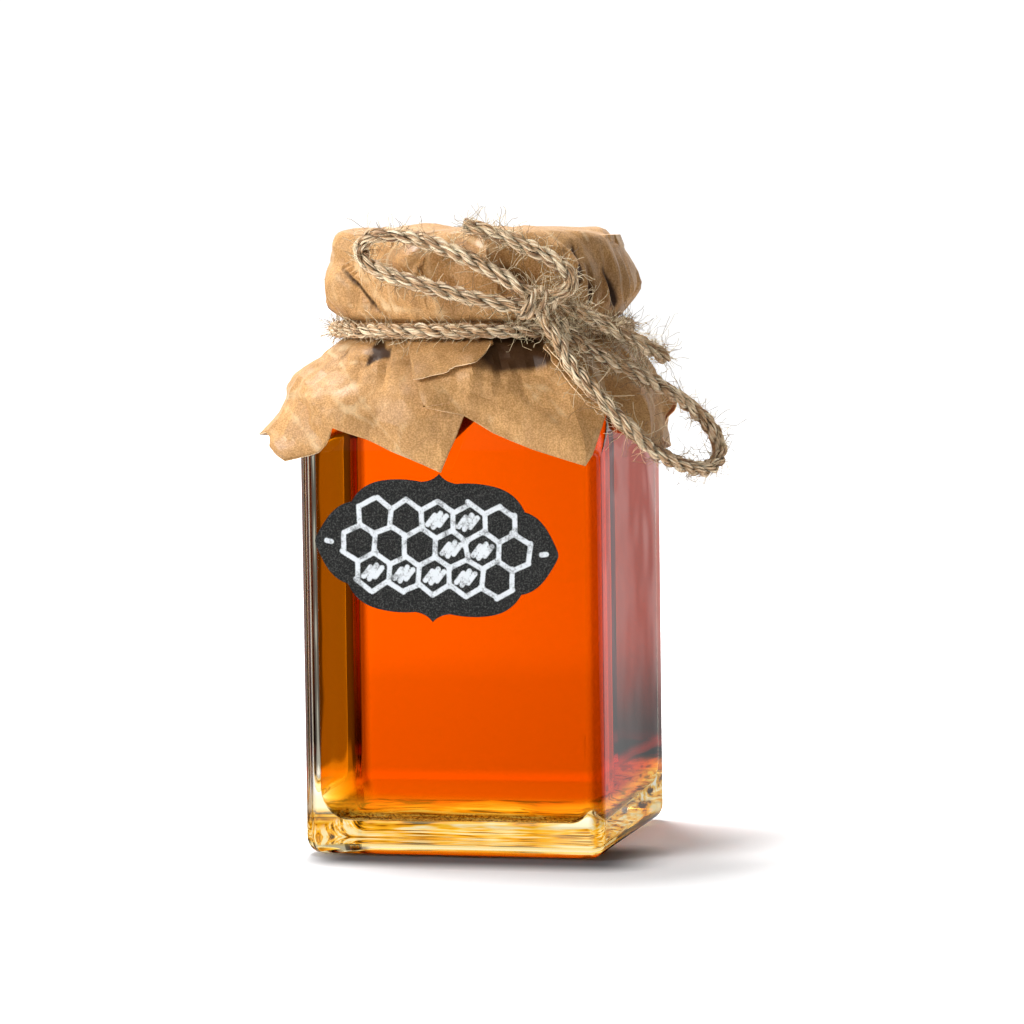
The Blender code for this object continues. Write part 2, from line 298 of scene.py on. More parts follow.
def flat_ring(name, inner, outer, height, finish):
    """A flat disc with its middle cut out, or whole where inner is 0."""
    bm = bmesh.new()
    count = 96
    rows = []
    for radius in (inner, outer):
        turns = [2 * math.pi * i / count for i in range(count)]
        rows.append([bm.verts.new((radius * math.cos(t), radius * math.sin(t), height)) for t in turns])
    for i in range(count):
        j = (i + 1) % count
        bm.faces.new((rows[0][i], rows[1][i], rows[1][j], rows[0][j]))
    bmesh.ops.remove_doubles(bm, verts=bm.verts, dist=0.01 * MM)
    made = new_object(name, mesh_of(bm, name), finish)
    return made


floor = flat_ring("studio_floor", 0, FLOOR_RADIUS, -FLOOR_DROP, floor_finish)
glow_ring = flat_ring("studio_glow", GLOW_HOLE, FLOOR_RADIUS, -0.15 * MM, glow_finish)
under = flat_ring("studio_light_under", 0, UNDER_RADIUS, -0.2 * MM, under_finish)
for light in (glow_ring, under):
    light.visible_diffuse = light.visible_glossy = light.visible_shadow = False
under.visible_camera = False
print("floor radius:", FLOOR_RADIUS, "m")

# %% Dark card behind the jar
CARD_LEFT, CARD_RIGHT = 0.000, 0.300  # along X at its foot
CARD_BACK, CARD_TOP = 0.300, 0.160
CARD_FRONT = 0.090  # how near to the jar its lower part reaches along the floor
CARD_SLANT = 0.249  # sideways drift of the light that the left wall turns back
CARD_NEAR_FADE = 1.6  # it fades in from CARD_FRONT to this many times CARD_FRONT
CARD_BESIDE = (0.036, 0.048)  # and from here to here right of the honey seen straight through
CARD_STRIPES = (  # place across the card, brightness, and how much of it shows
    (0.00, 0.50, 0),
    (0.05, 0.50, 1),
    (0.19, 0.52, 1),
    (0.22, 0.15, 1),
    (0.90, 0.15, 1),
    (1.00, 0.15, 0),
)

card_finish, tree = empty_material("dark_card")
where = add_node(tree, "ShaderNodeTexCoord").outputs["Object"]
split = add_node(tree, "ShaderNodeSeparateXYZ", (where,))
shift = CARD_SLANT * CARD_BACK
stripes = stripes_across(
    tree, sideways(tree, split, CARD_SLANT), CARD_LEFT - shift, CARD_RIGHT - shift, CARD_STRIPES
)
near = add_node(
    tree,
    "ShaderNodeMapRange",
    (split.outputs["Y"], CARD_FRONT, CARD_NEAR_FADE * CARD_FRONT, 0, 1),
    **SMOOTH,
)
beside = add_node(
    tree, "ShaderNodeMapRange", (sideways(tree, split, -CARD_SLANT), *CARD_BESIDE, 0, near), **SMOOTH
)
shown = add_node(tree, "ShaderNodeMath", (stripes.outputs["Alpha"], beside), operation="MULTIPLY")
paint = add_node(tree, "ShaderNodeEmission", {"Color": stripes.outputs["Color"]})
clear = add_node(tree, "ShaderNodeBsdfTransparent")
mixed = add_node(tree, "ShaderNodeMixShader", (shown, clear, paint))
finish_material(tree, mixed)

drift = CARD_SLANT * (CARD_BACK - CARD_FRONT)
foot = 0.5 * MM
corners = (
    (CARD_LEFT - drift, CARD_FRONT, foot),
    (CARD_RIGHT - drift, CARD_FRONT, foot),
    (CARD_RIGHT, CARD_BACK, foot),
    (CARD_LEFT, CARD_BACK, foot),
    (CARD_RIGHT, CARD_BACK, CARD_TOP),
    (CARD_LEFT, CARD_BACK, CARD_TOP),
)
mesh = bpy.data.meshes.new("card_behind")
mesh.from_pydata(corners, [], [(0, 1, 2, 3), (3, 2, 4, 5)])
card = new_object("card_behind", mesh, card_finish)
card.visible_camera = card.visible_diffuse = card.visible_shadow = card.visible_glossy = False
print("card width:", round((CARD_RIGHT - CARD_LEFT) * 1000), "mm")


# %% Lamps and surroundings
JAR_MIDDLE = Vector((0, 0, 0.10))


def area_lamp(name, at, size, power):
    """A white lamp of some width and height in metres, turned to the middle of the jar."""
    data = bpy.data.lights.new(name, "AREA")
    data.shape = "RECTANGLE"
    data.size, data.size_y = size
    data.energy = power
    made = new_object(name, data)
    made.location = at
    made.rotation_euler = (Vector(at) - JAR_MIDDLE).to_track_quat("Z", "Y").to_euler()


area_lamp("overhead", (-0.30, 0.30, 1.25), (0.5, 0.4), 20)
area_lamp("front_left", (-1.15, -1.10, 0.9), (0.9, 0.9), 27)

SKY_SEEN = 1.1  # straight or through glass
SKY_LIGHT = 0.40  # on what isn't glass
SKY_FROM_LEFT, SKY_FROM_RIGHT = 0.60, 0.05  # its shares on what isn't glass
SKY_FLAGGED = 0.06  # what is left of it in the mirrored front, behind a black flag

surroundings = bpy.data.worlds.new("studio")
bpy.context.scene.world = surroundings
surroundings.use_nodes = True
tree = surroundings.node_tree
tree.nodes.clear()
ray = add_node(tree, "ShaderNodeLightPath")
direction = add_node(tree, "ShaderNodeTexCoord").outputs["Generated"]
split = add_node(tree, "ShaderNodeSeparateXYZ", (direction,))
in_front = add_node(tree, "ShaderNodeMapRange", (split.outputs["Y"], -0.25, 0.1, 1.0, 0.0), **SMOOTH)
low = add_node(tree, "ShaderNodeMapRange", (split.outputs["Z"], 0.35, 0.75, 1.0, 0.0), **SMOOTH)
flag = add_node(tree, "ShaderNodeMath", (in_front, low), operation="MULTIPLY")
flagged = add_node(tree, "ShaderNodeMath", (flag, ray.outputs["Is Glossy Ray"]), operation="MULTIPLY")
strength = add_node(
    tree,
    "ShaderNodeMapRange",
    {"Value": ray.outputs["Is Diffuse Ray"], "To Min": SKY_SEEN, "To Max": SKY_LIGHT},
)
left = add_node(tree, "ShaderNodeMapRange", (flagged, 0.0, 1.0, 1.0, SKY_FLAGGED), **SMOOTH)
from_left = add_node(
    tree, "ShaderNodeMapRange", (split.outputs["X"], -0.7, 0.7, SKY_FROM_LEFT, SKY_FROM_RIGHT), **SMOOTH
)
sided = add_node(
    tree, "ShaderNodeMix", {0: ray.outputs["Is Diffuse Ray"], 2: 1.0, 3: from_left}, data_type="FLOAT"
)
shared = add_node(tree, "ShaderNodeMath", (strength, left), operation="MULTIPLY")
seen = add_node(tree, "ShaderNodeMath", (shared, sided), operation="MULTIPLY")
sky = add_node(tree, "ShaderNodeBackground", {"Color": (1, 1, 1, 1), "Strength": seen})
add_node(tree, "ShaderNodeOutputWorld", {"Surface": sky})
bpy.context.scene.view_settings.view_transform = "Standard"

# %% [markdown]
# ## Glass
# The jar is one thick-walled piece of pressed glass: a square box with rounded edges, a heavy
# base, and a shoulder that draws in to a round neck. It could be a box with bevels and
# booleans; here it is a loft, because each level of it is a square whose corners grow rounder
# until it is a circle. Extra points beside each rounded corner keep the flat sides optically flat
# under smooth shading.
#
# Light bends where materials of different index meet. Outside it meets glass from air. Inside
# it meets honey, whose index is nearly the glass's own, so the wet side of the wall gets its own
# finish, in which the index is the ratio of the two: the wall then almost disappears, as it
# does in a full jar.

# %% Sizes of the jar
SIDE = 72 * MM
CORNER = 3.5 * MM
HEEL = 4 * MM
INNER_HEEL = 6.5 * MM
WAVE_FADE = INNER_HEEL + 6 * MM  # above the floor, where its waves have died away
LEAST_CORNER = 1.2 * MM
WALL = 3.2 * MM
BASE = 9 * MM
SHOULDER_FOOT = 94 * MM
SHOULDER_TOP = 118 * MM
NECK = 31.6 * MM
MOUTH = 142.1 * MM
RIM = 1 * MM
HONEY_LEVEL = 138.7 * MM
CORNER_STEPS = 12
HEEL_STEPS = 7
SHOULDER_STEPS = 20
FLAT_MARGIN = 0.4 * MM  # from the end of a rounded corner to the point that pins the flat
SOAK = 0.15 * MM  # how far the honey reaches into the wall, so that no air is between them
GLASS_INDEX = 1.52
HONEY_INDEX = 1.49


def wavy(x, y):
    """The unevenness of the pressed glass floor under the honey."""
    return (
        1.25 * math.cos(134 * x - 0.15) * math.cos(30 * y + 0.99)
        + 0.45 * math.sin(210 * x + 60 * y)
        + 0.2 * math.sin(420 * x - 90 * y + 1.0)
    ) * MM


def level(half, corner, height):
    """One level of the jar, anticlockwise from the +X side."""
    pin = min(FLAT_MARGIN, (half - corner) / 2)
    quarter = [(half, half - corner - pin)]
    for step in range(CORNER_STEPS + 1):
        angle = step / CORNER_STEPS * math.pi / 2
        quarter.append(
            (half - corner + corner * math.cos(angle), half - corner + corner * math.sin(angle))
        )
    quarter.append((half - corner - pin, half))
    loop = []
    for turn in range(4):
        c, s = ((1, 0), (0, 1), (-1, 0), (0, -1))[turn]
        loop += [Vector((x * c - y * s, x * s + y * c, height)) for x, y in quarter]
    return loop


def heel(half, corner, radius, foot):
    """Levels of the quarter turn between the underside and the upright sides."""
    levels = []
    for step in range(HEEL_STEPS + 1):
        angle = step / HEEL_STEPS * math.pi / 2
        inset = radius * (1 - math.sin(angle))
        rise = radius * (1 - math.cos(angle))
        levels.append(level(half - inset, max(corner - inset, LEAST_CORNER), foot + rise))
    levels.append(level(half, corner, foot + radius + FLAT_MARGIN))
    return levels


def shoulder(half, corner, neck):
    """Levels from the square sides to the round neck."""
    levels = [level(half, corner, SHOULDER_FOOT - FLAT_MARGIN)]
    for step in range(SHOULDER_STEPS + 1):
        share = step / SHOULDER_STEPS
        reach = neck + (half - neck) * math.cos(share * math.pi / 2)
        turned = corner + (neck - corner) * share**0.8
        height = SHOULDER_FOOT + (SHOULDER_TOP - SHOULDER_FOOT) * share
        levels.append(level(reach, min(turned, reach), height))
    return levels


def cavity(inset):
    """Levels of the inside of the glass, drawn in by inset."""
    half, corner = SIDE / 2 - WALL - inset, CORNER - inset
    levels = heel(half, corner, INNER_HEEL - inset, BASE + inset)
    top = BASE + WAVE_FADE
    levels.append(level(half, corner, top))
    for loop in levels:
        for point in loop:
            point.z += wavy(point.x, point.y) * max(0, 1 - (point.z - BASE) / (top - BASE))
    return levels + shoulder(half, corner, NECK - WALL - inset)


CAP_ROWS = (0.985, 0.86, 0.68, 0.48, 0.28, 0.1)  # rows of an end face, as shares of its outline


def close_end(bm, row, slot, floor):
    """Fills an end of a loft with rows that shrink to its middle. floor gives their height."""
    outline = [vert.co.copy() for vert in row]
    for share in CAP_ROWS:
        inner = []
        for point in outline:
            x, y = point.x * share, point.y * share
            inner.append(bm.verts.new((x, y, floor(x, y) if floor else point.z)))
        for i in range(len(row)):
            j = (i + 1) % len(row)
            bm.faces.new((row[i], row[j], inner[j], inner[i])).material_index = slot
        row = inner
    bm.faces.new(row).material_index = slot


def loft(name, levels, slots=None, first_floor=None, last_floor=None):
    """A closed mesh through the levels. slots gives each band between two levels its material."""
    bm = bmesh.new()
    rows = [[bm.verts.new(point) for point in loop] for loop in levels]
    slots = slots or [0] * len(levels)
    for low, high, slot in zip(rows, rows[1:], slots):
        for i in range(len(low)):
            j = (i + 1) % len(low)
            bm.faces.new((low[i], low[j], high[j], high[i])).material_index = slot
    close_end(bm, rows[0], slots[0], first_floor)
    close_end(bm, rows[-1], slots[-1], last_floor)
    bmesh.ops.remove_doubles(bm, verts=bm.verts, dist=0.005 * MM)
    bmesh.ops.recalc_face_normals(bm, faces=bm.faces)
    mesh = mesh_of(bm, name)
    mesh.shade_smooth()
    mesh.set_sharp_from_angle(angle=math.radians(50))
    return mesh


def cavity_floor(inset):
    """A function for the height of the glass floor under the honey, moved up by inset."""

    def height(x, y):
        return BASE + inset + wavy(x, y)

    return height


# %% Glass finishes
# Painted dark reflection on the rounded upright edges, which mirror the dark studio.
EDGE_PAINTED_REFLECTION = colour("7C6C6A")
# Painted light in the foot: a honey-coloured tint, and a glow seen from inside the glass with its
# strength and colour stops.
FOOT_PAINTED_LIGHT_TINT = colour("FFE08A")
FOOT_TOP = 10.5 * MM
FOOT_GLOW = 1.2
FOOT_STOPS = ((0.0, "3A2408"), (0.2, "F0A018"), (0.5, "FFCC3C"), (0.9, "FFFBE6"))
# Painted shade at the turn of the honey's floor, and a painted glow in the thin honey over it.
RIM_PAINTED_SHADE = colour("3C2206")
RIM_PAINTED_GLOW = 0.35


def painted_heel_glow(tree, where, height, glass):
    """Adds a painted honey-coloured glow for the light that gathers in the heel, seen only from inside
    the glass.
    """
    placed = add_node(tree, "ShaderNodeMapping", {"Vector": where, "Scale": (0.4, 1.6, 3)})
    streaks = add_node(
        tree, "ShaderNodeTexNoise", {"Vector": placed, "Scale": 95, "Detail": 3, "Roughness": 0.65}
    )
    spread = add_node(tree, "ShaderNodeMapRange", (streaks, 0.37, 0.63, 0, 1), **SMOOTH)
    shades = add_node(tree, "ShaderNodeValToRGB", (spread,))
    set_stops(shades.color_ramp, [(place, colour(hex_code)) for place, hex_code in FOOT_STOPS])
    glow = add_node(
        tree, "ShaderNodeEmission", {"Color": shades.outputs["Color"], "Strength": FOOT_GLOW}
    )
    inside = add_node(tree, "ShaderNodeNewGeometry").outputs["Backfacing"]
    low = add_node(tree, "ShaderNodeMapRange", (height, 0.8 * HEEL, 1.3 * HEEL, 0.75, 0.0), **SMOOTH)
    share = add_node(tree, "ShaderNodeMath", (low, inside), operation="MULTIPLY")
    return add_node(tree, "ShaderNodeMixShader", (share, glass, glow))


def floor_rim(tree, where, glass, tint):
    """Paints shade into the turn between the honey's floor and sides towards the front, and a painted
    glow into the thin honey over it.
    """
    lift = add_node(tree, "ShaderNodeAttribute", attribute_name="lift").outputs["Fac"]
    speckle = add_node(tree, "ShaderNodeTexNoise", {"Vector": where, "Scale": 1500, "Detail": 2})
    rise = add_node(tree, "ShaderNodeMapRange", (lift, 0.0, 0.5, 0, 1), **SMOOTH)
    fall = add_node(tree, "ShaderNodeMapRange", (lift, 1.9, 2.8, 1, 0), **SMOOTH)
    band = add_node(tree, "ShaderNodeMath", (rise, fall), operation="MULTIPLY")
    rough = add_node(tree, "ShaderNodeMapRange", (speckle, 0.3, 0.7, 0.75, 1.0), **SMOOTH)
    deep = add_node(tree, "ShaderNodeSeparateXYZ", (where,)).outputs["Y"]
    rough = add_node(tree, "ShaderNodeMapRange", (deep, 0.0, 0.02, rough, 0.0), **SMOOTH)
    share = add_node(tree, "ShaderNodeMath", (band, rough), operation="MULTIPLY")
    dark = add_node(
        tree, "ShaderNodeMix", {"Factor": share, 6: tint.outputs[2], 7: RIM_PAINTED_SHADE}, data_type="RGBA"
    )
    tree.links.new(dark.outputs[2], glass.inputs["Base Color"])
    rise = add_node(tree, "ShaderNodeMapRange", (lift, 2.6, 3.4, 0, RIM_PAINTED_GLOW), **SMOOTH)
    fall = add_node(tree, "ShaderNodeMapRange", (lift, 3.6, 6.2, 1, 0), **SMOOTH)
    bright = add_node(tree, "ShaderNodeMath", (rise, fall), operation="MULTIPLY")
    glow = add_node(tree, "ShaderNodeEmission", {"Color": colour("FFB024"), "Strength": bright})
    return add_node(tree, "ShaderNodeAddShader", (glass, glow))


def glass_finish(name, index, waves):
    """Clear glass with the faint waves that pressing leaves, a painted dark reflection where the mesh
    says edge, and painted honey-coloured light low in the foot.
    """
    made, tree = empty_material(name)
    where = add_node(tree, "ShaderNodeTexCoord")
    swell = add_node(
        tree,
        "ShaderNodeTexNoise",
        {"Vector": where.outputs["Object"], "Scale": 45, "Detail": 1, "Roughness": 0.3},
    )
    bump = add_node(tree, "ShaderNodeBump", {"Strength": 1, "Distance": waves, "Height": swell})
    edge = add_node(tree, "ShaderNodeAttribute", attribute_name="edge")
    tint = add_node(
        tree,
        "ShaderNodeMix",
        {"Factor": edge.outputs["Fac"], 6: colour("FDFFFE"), 7: EDGE_PAINTED_REFLECTION},
        data_type="RGBA",
    )
    height = add_node(tree, "ShaderNodeSeparateXYZ", (where.outputs["Object"],)).outputs["Z"]
    # painted light: the foot is tinted honey-coloured for the light that gathers in the thick base
    foot = add_node(tree, "ShaderNodeMapRange", (height, 0.6 * FOOT_TOP, FOOT_TOP, 0.9, 0.0), **SMOOTH)
    tint = add_node(
        tree, "ShaderNodeMix", {"Factor": foot, 6: tint.outputs[2], 7: FOOT_PAINTED_LIGHT_TINT}, data_type="RGBA"
    )
    shader = add_node(
        tree,
        "ShaderNodeBsdfPrincipled",
        {
            "Base Color": tint.outputs[2],
            "Roughness": 0.0,
            "IOR": index,
            "Transmission Weight": 1.0,
            "Normal": bump,
        },
    )
    if index == GLASS_INDEX:
        finish_material(tree, painted_heel_glow(tree, where.outputs["Object"], height, shader))
    else:
        finish_material(tree, floor_rim(tree, where.outputs["Object"], shader, tint))
    return made


CLEAR_GLASS = glass_finish("pressed_clear_glass", GLASS_INDEX, 0.12 * MM)
WET_GLASS = glass_finish("glass_wet_with_honey", GLASS_INDEX / HONEY_INDEX, 0.12 * MM)

outside = heel(SIDE / 2, CORNER, HEEL, 0) + shoulder(SIDE / 2, CORNER, NECK)
rim = []
for radius, height in (
    (NECK, MOUTH - RIM),
    (NECK - 0.3 * RIM, MOUTH - 0.3 * RIM),
    (NECK - RIM, MOUTH),
    (NECK - WALL + RIM, MOUTH),
    (NECK - WALL + 0.3 * RIM, MOUTH - 0.3 * RIM),
    (NECK - WALL, MOUTH - RIM),
    (NECK - WALL, HONEY_LEVEL),
):
    rim.append(level(radius, radius, height))
inside = cavity(0)[::-1]
levels = outside + rim + inside
slots = [0] * (len(outside) + len(rim) - 1) + [1] * len(inside)
mesh = loft("jar_glass_clear", levels, slots, last_floor=cavity_floor(0))
edge = mesh.attributes.new("edge", "FLOAT", "POINT")
lift = mesh.attributes.new("lift", "FLOAT", "POINT")  # mm above the honey's floor
for vert in mesh.vertices:
    x, y, z = vert.co
    fall = max(0, 1 - (z - BASE) / WAVE_FADE)
    lift.data[vert.index].value = (z - BASE - wavy(x, y) * fall) / MM
    # The rounded upright corners carry a painted dark reflection, strongest mid-corner and fading up
    # the shoulder.
    if max(abs(x), abs(y)) > SIDE / 2 - WALL + 0.5 * MM:
        depth = min(abs(x), abs(y)) - (SIDE / 2 - CORNER)
        fade = min(1, max(0, (SHOULDER_TOP - z) / (SHOULDER_TOP - SHOULDER_FOOT)))
        edge.data[vert.index].value = min(1, max(0, depth / (0.45 * CORNER))) * fade
jar = new_object("jar_glass_clear", mesh, CLEAR_GLASS, WET_GLASS)
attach(jar, "root")
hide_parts("jar_glass")
print("glass:", len(jar.data.polygons), "faces")

# %% [markdown]
# ## Honey
# Honey colours light by soaking it up along its way, so a thin edge is yellow, the middle of the
# jar orange, and a long way through nearly brown-red. A painted surface can't do that. A volume
# that absorbs blue strongly, green somewhat and red a little does it by itself. The outside of the
# honey has an index of one, because the wall's own finish has done all the bending.

# %% Make the honey
ABSORB_RED, ABSORB_GREEN, ABSORB_BLUE = 6.2, 41.0, 165.0  # for a metre


def honey_finish(name, index):
    """A clear skin of the given index round a volume that absorbs light."""
    made, tree = empty_material(name)
    shader = add_node(
        tree,
        "ShaderNodeBsdfPrincipled",
        {"Base Color": (1, 1, 1, 1), "Roughness": 0.0, "IOR": index, "Transmission Weight": 1.0},
    )
    kept = [1 - taken / ABSORB_BLUE for taken in (ABSORB_RED, ABSORB_GREEN, ABSORB_BLUE)]
    volume = add_node(tree, "ShaderNodeVolumeAbsorption", {"Color": (*kept, 1), "Density": ABSORB_BLUE})
    finish_material(tree, shader, volume)
    return made


HONEY = honey_finish("amber_honey_in_glass", 1.0)
HONEY_TOP = honey_finish("amber_honey_open_top", HONEY_INDEX)

levels = cavity(-SOAK)
levels += [
    level(NECK - WALL + SOAK, NECK - WALL + SOAK, HONEY_LEVEL + 0.2 * MM),
    level(NECK - WALL - 0.6 * MM, NECK - WALL - 0.6 * MM, HONEY_LEVEL - 0.4 * MM),
]
slots = [0] * (len(levels) - 2) + [1, 1]
mesh = loft("honey_fill", levels, slots, first_floor=cavity_floor(-SOAK))
honey = new_object("honey_fill", mesh, HONEY, HONEY_TOP)
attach(honey, "root")
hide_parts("honey")
print("honey:", len(honey.data.polygons), "faces")

# %% [markdown]
# ## Paper cover
# A sheet of brown kraft paper lies over the lid, is gathered at the neck, and flares out below
# the twine. Cloth simulation would give soft folds, but paper doesn't stretch: it bends along
# straight lines. So the sheet is laid out along rulings, straight lines that run from the middle
# of the lid over its edge, through the neck and down to the hem. Neighbouring rulings are joined
# by nearly flat panels, and where the rulings turn back on themselves, the sheet lies in a real
# double fold.

# %% Lines of the sheet
PAPER = 0.26 * MM
PINCH = 32.4  # mm, radius of the paper under the twine
PINCH_TOP, PINCH_FOOT = 124.6, 121.0  # mm
CROWN = (  # radius and height from the middle of the lid to just above the twine, in mm
    (0, 145.9),
    (13, 146.0),
    (23, 146.2),
    (31.2, 145.7),
    (35.0, 142.6),
    (36.7, 137.2),
    (36.3, 130.5),
    (34.8, 126.6),
)
CROWN_ROWS = (4, 4, 6, 6, 7, 8, 5, 3)  # rows of the mesh below each of these points
PINCH_ROWS = 4
SKIRT_ROWS = 40
SKIRT_BULGE = 0.16
COLUMN_EVERY = 0.95  # mm along the hem
RULINGS = (  # azimuth at the lid's edge, the twine and the hem, the hem's radius and height, layer
    (-50, -50, -50, 57.0, 99.5, 0),
    (-45, -45, -45, 57.5, 96.5, 0),
    (-40, -41, -40, 56.0, 93.2, 0),
    (-36, -38, -35, 52.5, 95.0, 0),
    (-32, -34, -31, 48.0, 100.8, 0),
    (-22, -24, -16, 44.0, 95.4, 0),
    (-10, -12, 0, 40.8, 90.3, 0),
    (-8, -9, 8, 41.0, 103.8, 0),
    (-6.6, -6, 15, 41.2, 107.5, 0),
    (-6.4, -16.9, -4, 42.6, 105.6, 1),
    (-2, -3, 7.4, 42.6, 103.7, 1),
    (12, 11, 17, 43.0, 99.4, 0.6),
    (26, 26, 28, 47.0, 95.6, 0.2),
    (40, 40, 40, 51.8, 91.8, 0),
    (49, 49, 49, 49.5, 104.0, 0),
    (58, 58, 58, 45.5, 99.0, 0),
    (69, 69, 69, 49.0, 92.2, 0),
    (80, 80, 80, 48.0, 97.0, 0),
    (91, 91, 91, 46.5, 107.0, 0),
    (104, 104, 104, 42.5, 98.0, 0),
    (117, 117, 117, 46.5, 94.5, 0),
    (135, 135, 135, 53.5, 91.5, 0),
    (146, 146, 146, 47.5, 100.0, 0),
    (164, 164, 164, 42.0, 95.0, 0),
    (178, 178, 178, 45.0, 99.5, 0),
    (196, 196, 196, 42.0, 93.0, 0),
    (212, 212, 212, 48.0, 99.0, 0),
    (226, 226, 226, 54.0, 92.5, 0),
    (240, 240, 240, 46.0, 101.5, 0),
    (256, 256, 256, 42.5, 94.0, 0),
    (272, 272, 272, 44.5, 100.0, 0),
    (290, 290, 290, 47.5, 97.5, 0),
)
LAYER = 0.8  # mm between two layers of the double fold


def between(before, start, end, after, share):
    """A point of the smooth curve from start to end."""
    return 0.5 * (
        2 * start
        + (end - before) * share
        + (2 * before - 5 * start + 4 * end - after) * share**2
        + (3 * start - before - 3 * end + after) * share**3
    )


def profile(hem_radius, hem_height, layer):
    """Radius and height in mm of every row down one ruling, and each row's share of the skirt."""
    pinch = PINCH + LAYER * 0.5 * layer
    ends = [np.array(point, float) for point in (*CROWN, (pinch, PINCH_TOP))]
    rows, shares = [], []
    for leg, steps in enumerate(CROWN_ROWS):
        near = [ends[min(max(leg + k, 0), len(ends) - 1)] for k in (-1, 0, 1, 2)]
        rows += [between(*near, step / steps) for step in range(steps)]
    shares += [(-1 + k / len(rows)) for k in range(len(rows))]
    for step in range(PINCH_ROWS):
        height = PINCH_TOP + (PINCH_FOOT - PINCH_TOP) * step / PINCH_ROWS
        rows.append(np.array((pinch, height)))
        shares.append(0.0)
    start = np.array((pinch, PINCH_FOOT))
    fall = np.array((hem_radius, hem_height)) - start
    outwards = np.array((-fall[1], fall[0])) * SKIRT_BULGE
    for step in range(SKIRT_ROWS + 1):
        share = step / SKIRT_ROWS
        rows.append(start + fall * share + outwards * 4 * share * (1 - share) * (1 - share / 2))
        shares.append(share)
    return np.array(rows), np.array(shares)


def ruling_points(top, pinch_at, hem_at, hem_radius, hem_height, layer):
    """Points in metres down one ruling."""
    rows, shares = profile(hem_radius, hem_height, layer)
    turned = np.where(
        shares < 0,
        pinch_at + (top - pinch_at) * np.clip(-shares * 2.2, 0, 1),
        pinch_at + (hem_at - pinch_at) * shares,
    )
    angle = np.radians(turned)
    points = np.stack([rows[:, 0] * np.sin(angle), -rows[:, 0] * np.cos(angle), rows[:, 1]], axis=1)
    return points * MM, shares


FLATNESS = 0.55  # how nearly a panel spans its two rulings in a straight line at the hem
columns = []
closing = tuple(number + 360 if place < 3 else number for place, number in enumerate(RULINGS[0]))
for first, second in zip(RULINGS, (*RULINGS[1:], closing)):
    left, shares = ruling_points(*first)
    right, _ = ruling_points(*second)
    steps = max(3, math.ceil(np.linalg.norm(left[-1] - right[-1]) / MM / COLUMN_EVERY))
    straight = (FLATNESS * np.clip(shares, 0, 1))[:, None]
    for step in range(steps):
        share = step / steps
        curved, _ = ruling_points(*[a + (b - a) * share for a, b in zip(first, second)])
        columns.append(curved * (1 - straight) + (left + (right - left) * share) * straight)
sheet = np.array(columns)  # column, row, xyz
print("paper grid:", sheet.shape[0], "columns by", sheet.shape[1], "rows")

# %% [markdown]
# ## Creases
# Handled paper is covered with short creases. Each is modelled as a little tent or a little step
# pushed out of the sheet: tallest on its line, falling away over a few millimetres to either
# side and fading at its ends. Some are listed one by one where a fold catches the eye, the rest
# are scattered with a fixed seed, so the paper comes out the same each time.

